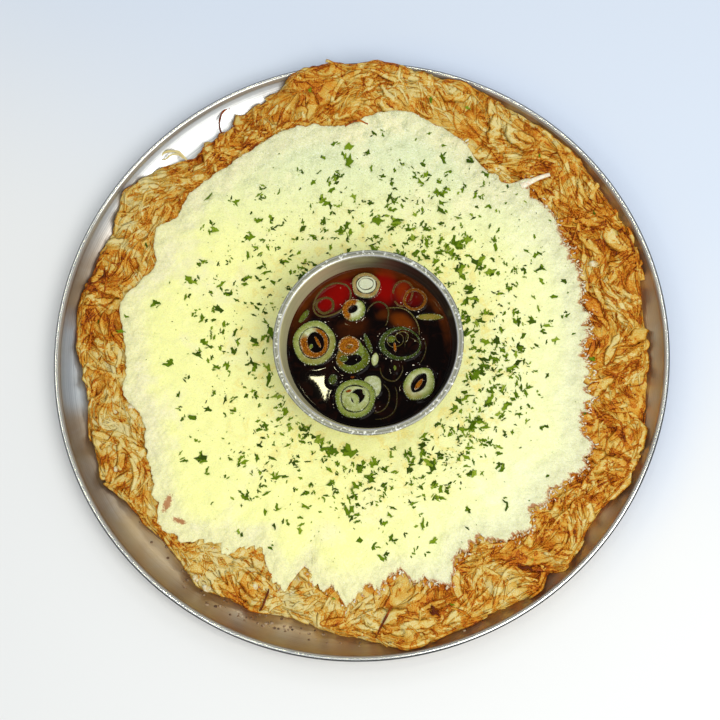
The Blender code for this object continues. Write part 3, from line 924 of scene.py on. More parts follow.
def makeCheeseThreads():
    draw = np.random.default_rng(cheeseThreads["seed"])
    count, points = cheeseThreads["count"], cheeseThreads["points"]
    degrees = draw.normal(draw.choice(cheeseThreads["towards"], (count, 1)), cheeseThreads["spread"])
    radius = cheeseLimit(degrees) - 1.5 * mm + np.abs(draw.normal(0, cheeseThreads["stray"], (count, 1))) * mm
    bend = draw.normal(0, cheeseThreads["bend"], (count, 1)) * np.linspace(-1, 1, points)
    heading = np.radians(degrees) + draw.normal(0, cheeseThreads["turn"], (count, 1)) + bend
    step = draw.uniform(*cheeseThreads["length"], (count, 1)) * mm / points
    startX, startY = onRing(radius, np.radians(degrees))
    x = startX + np.cumsum(step * np.cos(heading), 1)
    y = startY + np.cumsum(step * np.sin(heading), 1)
    away, around = polar(x, y)
    under = away < cheeseLimit(around)
    z = np.where(under, cheeseHeight(x, y) - 0.25 * mm, matHeight(x, y) + 0.25 * mm)
    width = draw.uniform(*cheeseThreads["width"], (count, 1)) * mm * taper(points, 0.45)
    tone = draw.uniform(0, 1, (count, 1, 1))
    scraps = scrapFinish()
    kind = {"slot": "melted_cheese", "key": "tone"}
    makeStrands("cheeseThreads", (x, y, z), width, width * 0.6, 4, tone, scraps, **kind)
    x, y, width = [values[None] for values in np.array(longThread).T * mm]
    line = x, y, matHeight(x, y) + 1.1 * mm
    makeStrands("cheeseLongThread", line, width, width * 0.5, 8, 0.85, scraps, **kind)


bowlBase = crust["top"] + cheese["gap"] + cheese["thickness"] + 0.3 * mm
sauceLevel = bowlBase + bowl["height"] - bowl["sauceDepth"]


def bowlInside(height):
    lean = math.radians(bowl["lean"])
    cornerEnd = bowl["sheet"] + bowl["corner"] * (1 - math.sin(lean))
    return bowl["floor"] + bowl["corner"] * math.cos(lean) + (height - cornerEnd) * math.tan(lean)


bowlLook = {"centre": bowl["centre"], "tint": (124, 124, 114), "bright": (166, 167, 156),
            "metallic": 0.82, "roughness": 0.20}


# a film of the dip inside, with painted shade and reflection: pale on its left and dark on its right
def bowlFinish():
    steel = Steel("bowlSteel", bowlLook)
    inside = steel.number("inside")
    right = steel.along(steel.away, (1, 0.1, 0)).between(-0.03, 0.03)
    # painted shade and reflection inside the bowl: dark at the right, pale at the left, where the steel is
    # also made duller
    steel.cover(0.75 * inside, steel.blend(right, (236, 226, 172), (34, 14, 4)))
    lip = steel.reach.between(46 * mm, 47 * mm)
    steel.cover(0.7 * (1 - inside) * (1 - lip), (188, 188, 190))
    # painted glints: near-white specks on the lip
    steel.cover(0.75 * steel.fine.between(0.56, 0.63) * lip, (244, 246, 244))
    return steel.complete(duller=0.36 * inside * (1 - right))


def makeBowl():
    lean = bowl["lean"]
    cornerZ = bowl["sheet"] + bowl["corner"]
    bendZ = bowl["height"] - bowl["bend"]
    wallTop = bendZ + bowl["bend"] * math.sin(math.radians(lean))
    bendX = bowlInside(wallTop) + bowl["bend"] * math.cos(math.radians(lean))
    lipX = bowl["radius"] - bowl["sheet"] / 2
    lipZ = bowl["height"] - bowl["sheet"] / 2
    section = [(0, bowl["sheet"]), (bowl["floor"] * 0.6, bowl["sheet"])]
    section += arc(bowl["floor"], cornerZ, bowl["corner"], -90, -lean, 14)
    section += arc(bendX, bendZ, bowl["bend"], 180 - lean, 90, 9)
    section += arc(lipX, lipZ, bowl["sheet"] / 2, 90, -90, 8)
    section += arc(bendX, bendZ, bowl["bend"] - bowl["sheet"], 90, 180 - lean, 6)
    section += arc(bowl["floor"], cornerZ, cornerZ, -lean, -90, 14)
    section += [(bowl["floor"] * 0.6, 0), (0, 0)]
    dish = spunPiece("dipBowl", section, 180)
    dish.data.transform(Matrix.Translation((*bowl["centre"], bowlBase)))
    x, y, z = readPoints(dish).T
    half = bowl["sheet"] / 2
    wall = np.minimum(bowlInside(z - bowlBase) + half, bowlInside(wallTop) + bowl["sheet"])
    writeNumbers(dish, "inside", (np.hypot(*fromBowl(x, y)) < wall) * (z > bowlBase + half))
    place(dish, bowlFinish(), "bowl_steel", ("sauce_bowl",))


# slices of scallion: places and sizes in mm. A layer has its own place from the slice's middle, its
# size and turn, and the hole in it with its own place and turn; skin is green from inside to outside
# (0 white to 1 dark), soak is how brown the dip made it: direction, width of that side, strength
slices = [
    {"name": "scallion_left", "at": (-21.7, -2.6), "top": 1.3, "thick": 3.6, "layers": [
        {"size": (22.8, 24.2), "turn": 14, "hole": (16.0, 17.2), "skin": (0.30, 0.52),
         "soak": (300, 90, 0.15)},
        {"size": (15.3, 16.5), "turn": 14, "hole": (8.4, 11.2), "holeAt": (0.9, 0.3), "skin": (0.10, 0.25),
         "soak": (300, 150, 1.0), "drop": 0.3},
        {"at": (1.9, 0.6), "size": (7.2, 1.7), "turn": -62, "skin": (0.2, 0.3), "soak": (0, 180, 0.9),
         "drop": 0.8},
        {"at": (-1.6, -1.9), "size": (2.0, 3.0), "turn": -20, "skin": (0.5, 0.6), "drop": 0.9}]},
    {"name": "scallion_back", "at": (5.5, 28.1), "top": 1.5, "thick": 4.0, "layers": [
        {"size": (14.8, 14.0), "hole": (10.6, 9.6), "holeAt": (0.2, 0.2), "skin": (0.16, 0.30),
         "soak": (200, 180, 0.42)},
        {"at": (0.2, 0.2), "size": (10.2, 9.2), "hole": (8.0, 6.6), "holeAt": (-0.2, 0.5), "skin": (0, 0.05)},
        {"at": (0.0, 0.8), "size": (7.9, 6.4), "skin": (0, 0)}]},
    {"name": "scallion_small", "at": (-0.9, 14.8), "top": 1.2, "thick": 3.2, "layers": [
        {"size": (12.8, 12.2), "turn": 35, "hole": (5.4, 3.6), "holeAt": (-0.5, 0.5), "holeTurn": 35,
         "skin": (0.05, 0.62), "soak": (160, 95, 0.95)}]},
    {"name": "scallion_middle", "at": (-1.4, -9.2), "top": 1.2, "thick": 3.4, "layers": [
        {"at": (0.1, -1.4), "size": (17.6, 17.8), "hole": (9.2, 5.0), "holeAt": (-0.2, -1.5), "holeTurn": 14,
         "skin": (0.58, 0.80), "soak": (150, 70, 0.4), "drop": 0.5},
        {"at": (-2.2, 5.0), "size": (11.6, 10.2), "turn": 10, "hole": (2.6, 0.9), "holeAt": (0.5, -0.8),
         "holeTurn": 18, "skin": (0.12, 0.3), "soak": (180, 180, 0.95)},
        {"at": (-4.8, -2.2), "size": (4.6, 3.6), "turn": 20, "skin": (0.7, 0.75), "drop": 0.4},
        {"at": (3.4, 4.2), "size": (3.6, 9.5), "turn": 24, "skin": (0.4, 0.6), "drop": 0.6}]},
    {"name": "scallion_front", "at": (-0.2, -32.8), "top": 1.4, "thick": 3.8, "layers": [
        {"size": (21.3, 20.8), "hole": (15.2, 14.6), "skin": (0.36, 0.66)},
        {"size": (14.6, 14.0), "hole": (6.6, 8.2), "holeAt": (1.4, 1.5), "holeTurn": -34,
         "skin": (0.18, 0.36), "drop": 0.2},
        {"at": (-1.6, -0.9), "size": (7.6, 8.2), "turn": 30, "hole": (1.2, 3.6), "holeAt": (-0.4, 0.2),
         "holeTurn": 36, "skin": (0.22, 0.4), "drop": 0.1},
        {"at": (-3.2, 4.1), "size": (3.4, 1.6), "turn": 15, "skin": (0.2, 0.2), "soak": (0, 180, 1.2),
         "drop": -0.05}]},
    {"name": "scallion_right", "at": (33.1, -25.5), "top": 1.4, "thick": 3.4, "layers": [
        {"size": (15.4, 19.4), "turn": -33, "point": 0.22, "hole": (6.6, 11.6), "holeTurn": -33,
         "holeAt": (-0.2, 0.6), "holePoint": 0.3, "skin": (0.16, 0.60), "soak": (235, 60, 0.2)},
        {"at": (-0.4, 0.0), "size": (2.4, 7.6), "turn": -35, "point": 0.3, "skin": (0.1, 0.2),
         "soak": (0, 180, 0.95), "drop": 0.7}]},
    {"name": "scallion_dark_ring", "at": (23.1, -3.7), "top": 1.0, "thick": 2.6, "layers": [
        {"size": (22.6, 17.8), "turn": -8, "hole": (18.4, 14.2), "holeAt": (1.1, 0.1), "holeTurn": -8,
         "skin": (0.8, 0.95)},
        {"at": (-4.4, 2.6), "size": (4.6, 4.0), "turn": 20, "skin": (0.6, 0.85), "drop": 0.6},
        {"at": (-2.6, -1.8), "size": (1.5, 5.2), "turn": 6, "skin": (0.3, 0.3), "soak": (0, 180, 1.0),
         "drop": 0.6}]},
    {"name": "scallion_far_ring", "at": (31.0, 20.0), "top": 0.9, "thick": 2.8, "layers": [
        {"size": (13.0, 12.2), "hole": (9.2, 8.6), "skin": (0.1, 0.2), "soak": (0, 180, 0.82),
         "sunk": 0.35}]},
]
# bits that only just break the surface
looseBits = [
    {"name": "whiteSlice", "at": (8.4, -26.4), "top": 0.7, "thick": 2.4, "layers": [
        {"size": (10.8, 12.4), "turn": -10, "skin": (0.1, 0.24), "sunk": 0.12}]},
    {"name": "backRing", "at": (24.8, 23.6), "top": 0.6, "thick": 1.6, "layers": [
        {"size": (11.4, 15.2), "turn": -8, "hole": (9.0, 12.8), "holeTurn": -8, "skin": (0.2, 0.3),
         "soak": (0, 180, 0.6), "sunk": 0.6}]},
    {"name": "ovalRing", "at": (-12.3, 20.6), "top": 0.75, "thick": 1.6, "layers": [
        {"size": (23.6, 15.6), "turn": 38, "hole": (21.6, 13.6), "holeTurn": 38, "skin": (0.3, 0.4),
         "soak": (0, 180, 0.35), "sunk": 0.68}]},
    {"name": "innerRing", "at": (-16.2, 17.6), "top": 0.65, "thick": 1.6, "layers": [
        {"size": (10.4, 9.8), "hole": (7.4, 6.8), "skin": (0.35, 0.45), "soak": (0, 180, 0.4),
         "sunk": 0.68}]},
    {"name": "paleBar", "at": (38.9, 10.4), "top": 0.8, "thick": 1.4, "layers": [
        {"size": (14.6, 3.6), "turn": -1, "point": 0.1, "skin": (0.40, 0.62), "soak": (180, 180, 0.3)}]},
    {"name": "greenStrip", "at": (6.6, -3.4), "top": 0.8, "thick": 1.2, "layers": [
        {"size": (2.8, 11.2), "turn": 20, "skin": (0.72, 0.86)}]},
    {"name": "paleSeed", "at": (10.1, -12.0), "top": 1.0, "thick": 1.8, "layers": [
        {"size": (3.8, 7.0), "turn": -8, "skin": (0.12, 0.3)}]},
    {"name": "leftBit", "at": (-27.6, 11.4), "top": 0.5, "thick": 1.2, "layers": [
        {"size": (3.2, 10.0), "turn": -38, "skin": (0.5, 0.7), "sunk": 0.3}]},
    {"name": "lowBit", "at": (-11.8, -22.3), "top": 0.7, "thick": 1.4, "layers": [
        {"size": (4.4, 5.8), "turn": -20, "skin": (0.75, 0.9)}]},
    {"name": "rightBit", "at": (20.5, -16.6), "top": 0.5, "thick": 1.2, "layers": [
        {"size": (2.6, 5.2), "turn": 4, "skin": (0.5, 0.6), "sunk": 0.2}]},
    {"name": "brownBit", "at": (-1.7, -21.3), "top": 0.5, "thick": 1.2, "layers": [
        {"size": (4.8, 1.9), "turn": 3, "skin": (0.2, 0.2), "soak": (0, 180, 1.25), "sunk": 0.2}]},
]
# thin edges of sunken rings: middle, width and depth in mm, first and last angle, gauge, how deep in the dip
thinEdges = [
    ((19.1, 2.3), (27.6, 28.4), -14, 104, 0.75, 0.5), ((11.7, 11.9), (11.4, 14.6), -50, 170, 1.0, 0.75),
    ((18.6, -17.4), (11.6, 12.0), 170, 380, 0.8, 0.8), ((8.6, -31.6), (17.6, 18.4), -84, 58, 0.8, 0.8),
    ((11.2, -32.8), (21.4, 21.6), -96, 34, 0.8, 0.85), ((22.4, -5.0), (28.2, 28.8), -38, 12, 0.6, 0.8),
    ((20.6, -1.4), (8.6, 8.0), 0, 360, 0.45, 0.5), ((24.2, -0.2), (6.6, 6.2), -60, 250, 0.5, 0.3),
    ((26.0, -6.0), (15.0, 12.0), -60, 70, 0.6, 0.8), ((33.4, -4.0), (16.0, 18.0), 100, 190, 0.5, 0.85),
]


# a slice's numbers: how green, how soaked, how deep under the dip, how near its rind
sliceNumbers = ("skin", "soak", "sunk", "rind")


def sliceFinish():
    flesh = Finish("scallionFlesh", Subsurface_Weight=0.05, Subsurface_Scale=0.001, Specular_IOR_Level=0.06)
    spot = flesh.spot()
    fibre = flesh.noise(spot, 0.00055, 3, 0.65)
    vein = flesh.noise(spot, 0.0022, 3, 0.5, 0.5)
    skin, soak, sunk, rind = [flesh.number(name) for name in sliceNumbers]
    flesh.body = flesh.ramp((skin + 0.35 * (vein - 0.5) + 0.5 * (fibre - 0.5)).held(), [
        (0.0, 206, 210, 180), (0.18, 168, 174, 116), (0.34, 132, 140, 66), (0.50, 102, 118, 34),
        (0.66, 78, 84, 4), (0.82, 48, 64, 8), (1.0, 16, 28, 4)])
    # painted glints: pale specks over the flesh
    flesh.cover(0.6 * fibre.between(0.60, 0.70), (236, 240, 214))
    stain = ((1.35 * soak + 0.3 * (vein - 0.5)).held() * soak.between(0.0, 0.15) * 1.1).held()
    flesh.cover(stain, flesh.blend(fibre.between(0.4, 0.6), (96, 42, 0), (162, 100, 6)))
    flesh.cover((soak - 1).held() * 2.5, (84, 16, 2))
    flesh.cover((0.7 * rind + 0.5 * (vein - 0.5)).held() * rind, (44, 50, 8))
    # painted glints: pale specks along the rinds
    flesh.cover(0.85 * (rind.between(0.02, 0.3) * fibre.between(0.56, 0.62)).held(), (236, 240, 216))
    flesh.cover(sunk, (26, 8, 4))
    flesh.drive("Base Color", flesh.body)
    flesh.drive("Roughness", (0.12 + 0.35 * vein).held())
    flesh.bump(fibre, 0.0004, 0.9)
    return flesh.material


# points of an oval at the directions given: pointed at its two ends, a little out of round
def ovalPoints(turns, size, turn, point, wobble):
    local = turns - math.radians(turn)
    x = size[0] / 2 * mm * np.cos(local) * (1 - point * np.sin(local) ** 4)
    y = size[1] / 2 * mm * np.sin(local)
    grow = 1 + 0.022 * wobble.at(np.cos(turns), np.sin(turns))
    c, s = math.cos(math.radians(turn)), math.sin(math.radians(turn))
    return grow * (x * c - y * s), grow * (x * s + y * c)


ringSection = [(1, -0.7), (1, 0.55), (0.97, 0.85), (0.88, 1.0), (0.7, 1.04), (0.5, 1.0), (0.3, 1.04),
               (0.12, 1.0), (0.03, 0.85), (0, 0.55), (0, -0.7), (0.05, -1), (0.95, -1)]
discSection = [(0, 1), (0.2, 1.03), (0.45, 1.0), (0.7, 1.04), (0.88, 1.0), (0.97, 0.85), (1, 0.55), (1, -0.7),
               (0.95, -1), (0.4, -1), (0, -1)]


# one layer of a slice as rows of points around it, with its colours
def layerPoints(values, layer, index):
    steps = 72
    turns = wholeTurn(steps)
    wobble = Ripple(700 + index, 1.5, 5)
    dx, dy = layer.get("at", (0, 0))
    outerX, outerY = ovalPoints(turns, layer["size"], layer.get("turn", 0), layer.get("point", 0), wobble)
    if "hole" in layer:
        holeX, holeY = ovalPoints(turns, layer["hole"], layer.get("holeTurn", layer.get("turn", 0)),
                                  layer.get("holePoint", 0), wobble)
        hx, hy = layer.get("holeAt", (0, 0))
        holeX, holeY = holeX + hx * mm, holeY + hy * mm
        section = ringSection
    else:
        holeX, holeY = np.zeros(steps), np.zeros(steps)
        section = discSection
    half = values["thick"] / 2 * mm
    middle = sauceLevel + values["top"] * mm - half - layer.get("drop", 0) * mm
    inner, outer = layer["skin"]
    toward, span, strength = layer.get("soak", (0, 180, 0))
    gap = (np.degrees(turns) - toward + 180) % 360 - 180
    side = 1 if span >= 180 else 1 - ease(np.abs(gap), span * 0.75, span * 1.15)
    points, numbers = [], []
    for share, level in section:
        x = holeX + (outerX - holeX) * share + (values["at"][0] + dx) * mm
        y = holeY + (outerY - holeY) * share + (values["at"][1] + dy) * mm
        z = middle + half * level + 0.10 * mm * wobble.at(x / mm * 0.15, y / mm * 0.15)
        points.append(np.stack([x, y, z], 1))
        sunk = max(layer.get("sunk", 0), 0.9 * float(ease(-level, -0.3, 0.8)))
        rind = max(float(ease(share, 0.82, 0.99)), float(ease(share, 0.16, 0.01)) if "hole" in layer else 0)
        soak = strength * (1 - 0.5 * share ** 4) * side
        skin = inner + (outer - inner) * share ** 2.5
        numbers.append(np.array([value * np.ones(steps) for value in (skin, soak, sunk, rind)]))
    return points, numbers


def makeSlice(values, finish, index, slot="scallion", replaced=()):
    points, quads, numbers = [], [], []
    count = 0
    for number, layer in enumerate(values["layers"]):
        rows, columns = layerPoints(values, layer, 10 * index + number)
        steps = len(rows[0])
        faces = ringQuads(len(rows), steps)
        if "hole" in layer:        # the last row joins the first
            last = (len(rows) - 1) * steps
            here = np.arange(steps)
            after = (here + 1) % steps
            faces = np.concatenate([faces, np.stack([last + here, here, after, last + after], 1)])
        quads.append(faces + count)
        count += len(rows) * steps
        points += rows
        numbers += columns
    numbers = dict(zip(sliceNumbers, np.concatenate(numbers, 1)))
    piece = meshOf(values["name"] + "Cut", np.concatenate(points), np.concatenate(quads), numbers)
    cleanMesh(piece, bpy.ops.mesh.remove_doubles, threshold=0.002 * mm)
    place(piece, finish, slot, replaced)


def makeThinEdges(finish):
    points, quads, sunks = [], [], []
    count, sides, steps = 0, 6, 40
    for (x, y), (width, depth), start, end, gauge, sunk in thinEdges:
        turn = np.radians(np.linspace(start, end, steps))
        wobble = 1 + 0.03 * np.sin(3 * turn + x) + 0.02 * np.sin(5 * turn + y)
        px = x * mm + width / 2 * mm * np.cos(turn) * wobble
        py = y * mm + depth / 2 * mm * np.sin(turn) * wobble
        pz = np.full(steps, sauceLevel + 0.05 * mm) + 0.12 * mm * np.sin(2 * turn + x)
        gauges = gauge * mm * taper(steps, 0.4)[None]
        rings = strandPoints(np.stack([px, py, pz], 1)[None], gauges, gauges, sides, np.zeros((1, steps)))
        points.append(rings.reshape(-1, 3))
        quads.append(strandQuads(1, steps, sides) + count)
        sunks.append(np.full(steps * sides, sunk))
        count += steps * sides
    numbers = (np.full(count, 0.45), np.full(count, 0.25), np.concatenate(sunks), np.full(count, 0.2))
    edges = meshOf("sunkenEdges", np.concatenate(points), np.concatenate(quads),
                   dict(zip(sliceNumbers, numbers)))
    place(edges, finish, "scallion")


def sauceFinish():
    dip = Finish("soyDip", Roughness=0.015, Specular_IOR_Level=0.05)
    spot = dip.spot()
    cloud = dip.noise(spot, 0.006, 4, 0.6, 1.0)
    dip.body = dip.blend(cloud.between(0.45, 0.7), (6, 2, 1), (26, 7, 2))
    # painted glow: red and amber where light comes up through the dip
    dip.cover((dip.number("red") * (0.75 + 0.5 * cloud)).held(), (122, 4, 0))
    dip.cover((dip.number("amber") * (0.4 + 1.2 * cloud)).held(), (124, 56, 2))
    dip.drive("Base Color", dip.body)
    return dip.material


# where light comes up through the dip: place in mm, spread across and along, turn, strength
redGlow = [
    ((-10.4, 23.0), (10.5, 6.2), 38, 0.95), ((-16.1, 17.6), (3.9, 3.5), 0, 0.85),
    ((15.2, 27.0), (6.4, 8.6), 0, 1.0), ((30.9, 20.2), (4.5, 4.2), 0, 0.42),
    ((24.6, 24.0), (4.6, 6.4), 0, 0.75), ((-2.6, 22.6), (3.0, 3.0), 0, 0.3),
]
amberGlow = [
    ((24.4, 8.2), (6.4, 3.6), -32, 0.6), ((15.0, 12.4), (4.0, 2.4), 20, 0.25),
    ((24.6, 26.0), (3.4, 5.2), 0, 0.35), ((-2.0, 5.0), (8, 5), 20, 0.14), ((38.5, 23.5), (5, 6), 0, 0.25),
    ((-29, 8), (4, 10), -20, 0.15),
]


def glowAt(x, y, spots):
    glow = np.zeros(len(x))
    for middle, spread, turn, strength in spots:
        away = ovalShare(x, y, middle, spread, turn)
        glow = np.maximum(glow, strength * np.exp(-away ** 4 * 0.7))
    return glow


def makeSauce(finish):
    level = bowl["height"] - bowl["sauceDepth"]
    wall = bowlInside(level) + 0.25 * mm
    section = [(0, level)]
    section += [(wall * share, level) for share in np.linspace(0.012, 0.965, 112)]
    section += [(wall - 1.1 * mm, level + 0.1 * mm), (wall - 0.7 * mm, level + 0.25 * mm),
                (wall - 0.3 * mm, level + 0.5 * mm), (wall, level + 0.85 * mm)]
    cornerZ = bowl["sheet"] + bowl["corner"]
    section += arc(bowl["floor"], cornerZ, bowl["corner"] + 0.2 * mm, -bowl["lean"], -90, 8)
    section.append((0, bowl["sheet"] - 0.2 * mm))
    pool = spunPiece("soyPool", section, 300)
    pool.data.transform(Matrix.Translation((*bowl["centre"], bowlBase)))
    points = readPoints(pool)
    x, y, z = points.T
    radius, degrees = polar(*fromBowl(x, y))
    # painted glow in a band near the wall at the back
    band = ease(radius, wall - 5.5 * mm, wall - 2.5 * mm) * ease(np.sin(np.radians(degrees + 6)), -0.05, 0.5)
    writeNumbers(pool, "red", glowAt(x, y, redGlow))
    writeNumbers(pool, "amber", np.maximum(glowAt(x, y, amberGlow), 0.30 * band))
    surface = ease(z, bowlBase + level - 0.5 * mm, bowlBase + level - 0.01 * mm)
    swell = 0.004 * mm * Ripple(61, 16 * mm).at(x, y)
    writePoints(pool, np.stack([x, y, z + surface * (swell + meniscus(x, y))], 1))
    place(pool, finish, "soy_dip", ("sauce",))


# the dip climbs a little where it meets each slice
def meniscus(x, y):
    rise = np.zeros(len(x))
    for values in slices + looseBits:
        layer = values["layers"][0]
        turn = layer.get("turn", 0)
        edges = [(layer["size"], (0, 0), 1)]
        if "hole" in layer:
            edges.append((layer["hole"], layer.get("holeAt", (0, 0)), -1))
        for size, at, outward in edges:
            middle = np.sum([values["at"], layer.get("at", (0, 0)), at], 0)
            share = ovalShare(x, y, middle, np.array(size) / 2, turn)
            away = outward * (share - 1) * sum(size) / 4 * mm
            climb = np.clip(1 - np.maximum(away, 0) / (2.4 * mm), 0, 1) ** 3
            rise = np.maximum(rise, 0.55 * mm * climb * (away > -1 * mm))
    return rise


# drops: seed, how many, size in mm, how flat, how far out of round
bubbles = {"seed": 71, "count": 260, "size": (0.25, 0.75), "flat": 0.5, "uneven": 0}
trayDrops = {"seed": 72, "count": 70, "size": (0.6, 2.2), "flat": 0.3, "uneven": 0}
lumps = {"seed": 74, "count": 8, "size": (3.6, 5.6), "flat": 0.26, "uneven": 0.10}


def makeDrops(name, values, spots, finish, slot):
    draw = np.random.default_rng(values["seed"])
    deselectAll()
    bpy.ops.mesh.primitive_uv_sphere_add(segments=10, ring_count=6, radius=0.5)
    model = bpy.context.object
    drops = []
    for x, y, z in spots(draw, values["count"]):
        size = draw.uniform(*values["size"]) * mm
        mesh = model.data.copy()
        for vertex in mesh.vertices:
            vertex.co *= 1 + values["uneven"] * draw.normal()
        sizes = Matrix.Diagonal((size, size * draw.uniform(0.7, 1), size * values["flat"], 1))
        mesh.transform(Matrix.Translation((x, y, z)) @ sizes)
        drops.append(newPiece(name, mesh))
    bpy.data.objects.remove(model)
    deselectAll()
    for drop in drops:
        drop.select_set(True)
    bpy.context.view_layer.objects.active = drops[0]
    bpy.ops.object.join()
    piece = bpy.context.object
    piece.data.shade_smooth()
    place(piece, finish, slot)


def bubbleSpots(draw, count):
    for _ in range(count):
        near = slices[draw.integers(len(slices))]
        size = near["layers"][0]["size"]
        turn = draw.uniform(0, 2 * math.pi)
        reach = 0.51 + abs(draw.normal(0, 0.04))
        x = near["at"][0] + reach * size[0] * math.cos(turn)
        y = near["at"][1] + reach * size[1] * math.sin(turn)
        if math.hypot(x - bowl["centre"][0] / mm, y - bowl["centre"][1] / mm) < 37:
            yield x * mm, y * mm, sauceLevel + 0.15 * mm


def trayDropSpots(draw, count):
    for _ in range(count):
        degrees = draw.normal(246, 9) if draw.uniform() < 0.75 else draw.uniform(215, 300)
        radius = float(outlineAt(crustEdge, degrees)) + draw.uniform(0.3, 7) * mm
        if radius < 160 * mm:
            turn = math.radians(degrees)
            yield radius * math.cos(turn), radius * math.sin(turn), float(trayTop(radius)) + 0.1 * mm


# soft wet lumps in the crust: their middles in mm
lumpMiddles = [(-78.4, -126.8), (-52.9, -126.4), (-33.6, -130.6), (-131, -33), (-128.5, -64), (-121.5, -31),
               (-84, -122), (126.5, 44)]


def lumpSpots(draw, count):
    for x, y in lumpMiddles[:count]:
        yield x * mm, y * mm, float(matHeight(x * mm, y * mm)) + 0.1 * mm


# the noise and the colours of each kind of drop
dropLooks = {
    "wetPotato": ((0.0022, 4, 0.6, 0.6), [(0.35, 190, 158, 92), (0.5, 206, 188, 134), (0.66, 230, 222, 192)]),
    # the bubbles on the dip are pale: a painted glint
    "dipGlintBubbles": ((0.0040, 3), [(0.40, 96, 70, 50), (0.50, 190, 176, 150), (0.60, 240, 236, 220)]),
    "fatDrops": ((0.0030, 3), [(0.35, 70, 46, 26), (0.50, 118, 90, 60), (0.65, 170, 150, 122)]),
}


def makeAllDrops():
    fat = mottled("fatDrops", *dropLooks["fatDrops"], Roughness=0.25, Specular_IOR_Level=0.3)
    glintBubbleLook = mottled("dipGlintBubbles", *dropLooks["dipGlintBubbles"], Roughness=0.1, Specular_IOR_Level=0.5)
    wet = mottled("wetPotato", *dropLooks["wetPotato"], 0.0009, Roughness=0.2, Subsurface_Weight=0.15,
                  Subsurface_Scale=0.002, Specular_IOR_Level=0.3)
    makeDrops("dipBubbles", bubbles, bubbleSpots, glintBubbleLook, "soy_dip")
    makeDrops("trayDrops", trayDrops, trayDropSpots, fat, "tray_steel")
    makeDrops("wetLumps", lumps, lumpSpots, wet, "fried_potato")


parsley = {"seed": 9, "size": 3.2, "corners": 9, "thick": 0.14 * mm, "together": (1, 1, 1, 2, 2, 3),
           "leaves": 5600, "crumbs": 5200, "crumbSize": 0.75, "onCrust": 14, "slim": (0.3, 0.8),
           "notch": (0.4, 0.75), "tooth": (0.8, 1.25)}
# how thickly the flakes lie round a middle, in percent: direction, then at each distance in mm
flakesMiddle = (5.4, 3.0)
flakeDistances = (55, 68, 82, 96, 112, 128)
flakesRound = [
    (22, 17, 16, 6, 4.5, 1, 0), (67, 16, 7, 8, 6, 2.5, 0), (112, 9, 7, 8, 3.5, 1, 0),
    (157, 7, 5, 6, 4.5, 1, 0), (202, 3, 7, 6, 3.5, 1, 0), (247, 16, 13, 7, 5.5, 3, 0),
    (292, 6, 14, 17, 5.5, 1, 0), (337, 20, 18, 12, 2, 1, 0)]
flakesMost = 24        # percent


def parsleyFinish():
    herb = Finish("driedParsley", Roughness=0.65, Specular_IOR_Level=0.1)
    spot = herb.spot()
    vein = herb.noise(spot, 0.0008, 3)
    tone = herb.number("tone")
    herb.drive("Base Color", herb.ramp((tone + 0.5 * (vein - 0.5)).held(), [
        (0.0, 46, 66, 0), (0.4, 78, 106, 0), (0.75, 110, 136, 10),
        (1.0, 164, 178, 66)]))
    herb.bump(vein, 0.0002, 0.5)
    return herb.material


# one curled flake about the origin: points round its outline on both faces, and the two crowns
def flakePoints(draw, scale):
    corners = parsley["corners"]
    size = scale * mm * float(np.clip(draw.lognormal(0, 0.38), 0.35, 1.8))
    slim = draw.uniform(*parsley["slim"])
    turn = wholeTurn(corners) + draw.uniform(-0.2, 0.2, corners)
    notch, tooth = [draw.uniform(*parsley[kind], corners) for kind in ("notch", "tooth")]
    x, y = onRing(size / 2 * np.where(np.arange(corners) % 2, notch, tooth), turn)
    z = draw.uniform(-0.3, 0.5) * x ** 2 / size + draw.normal(0, 0.08 * mm, corners)
    spin = Matrix.Rotation(draw.uniform(0, 2 * math.pi), 3, "Z")
    tilt = Matrix.Rotation(draw.normal(0, 0.3), 3, "X")
    top = np.stack([x, y * slim, z], 1) @ np.array(spin @ tilt).T
    bottom = top - (0, 0, parsley["thick"])
    return np.concatenate([top, bottom, [top.mean(0) + (0, 0, 0.05 * mm), bottom.mean(0)]])


def flakeFaces():
    corners = parsley["corners"]
    faces = []
    for i in range(corners):
        after = (i + 1) % corners
        faces += [(i, corners + i, corners + after, after), (2 * corners, i, after),
                  (2 * corners + 1, corners + after, corners + i)]
    return faces


# a place for a flake or a leaf, in mm, or none where they lie too thin
def flakePlace(draw):
    reach = flakeDistances[-1] * math.sqrt(draw.uniform())
    degrees = draw.uniform(0, 360)
    turns = [row[0] for row in flakesRound]
    columns = range(1, 1 + len(flakeDistances))
    values = [np.interp(degrees, turns, [row[i] for row in flakesRound], period=360) for i in columns]
    thickly = np.interp(reach, flakeDistances, values)
    turn = math.radians(degrees)
    x = flakesMiddle[0] + reach * math.cos(turn)
    y = flakesMiddle[1] + reach * math.sin(turn)
    return (x, y) if draw.uniform(0, flakesMost) < thickly else None


# where flakes land: several together as torn leaves, and crumbs by themselves
def flakeSpots(draw):
    for _ in range(parsley["leaves"]):
        spot = flakePlace(draw)
        scale = parsley["size"] * float(draw.uniform(0.6, 1.25))
        for index in range(draw.choice(parsley["together"])):
            gap = 0 if index == 0 else 0.62 * scale
            turn = draw.uniform(0, 2 * math.pi)
            if spot:
                yield spot[0] + gap * math.cos(turn), spot[1] + gap * math.sin(turn), scale
    for _ in range(parsley["crumbs"]):
        spot = flakePlace(draw)
        if spot:
            yield *spot, parsley["crumbSize"]
    for _ in range(parsley["onCrust"]):
        turn = draw.uniform(0, 2 * math.pi)
        reach = draw.uniform(125, 150)
        yield reach * math.cos(turn), reach * math.sin(turn), parsley["size"]


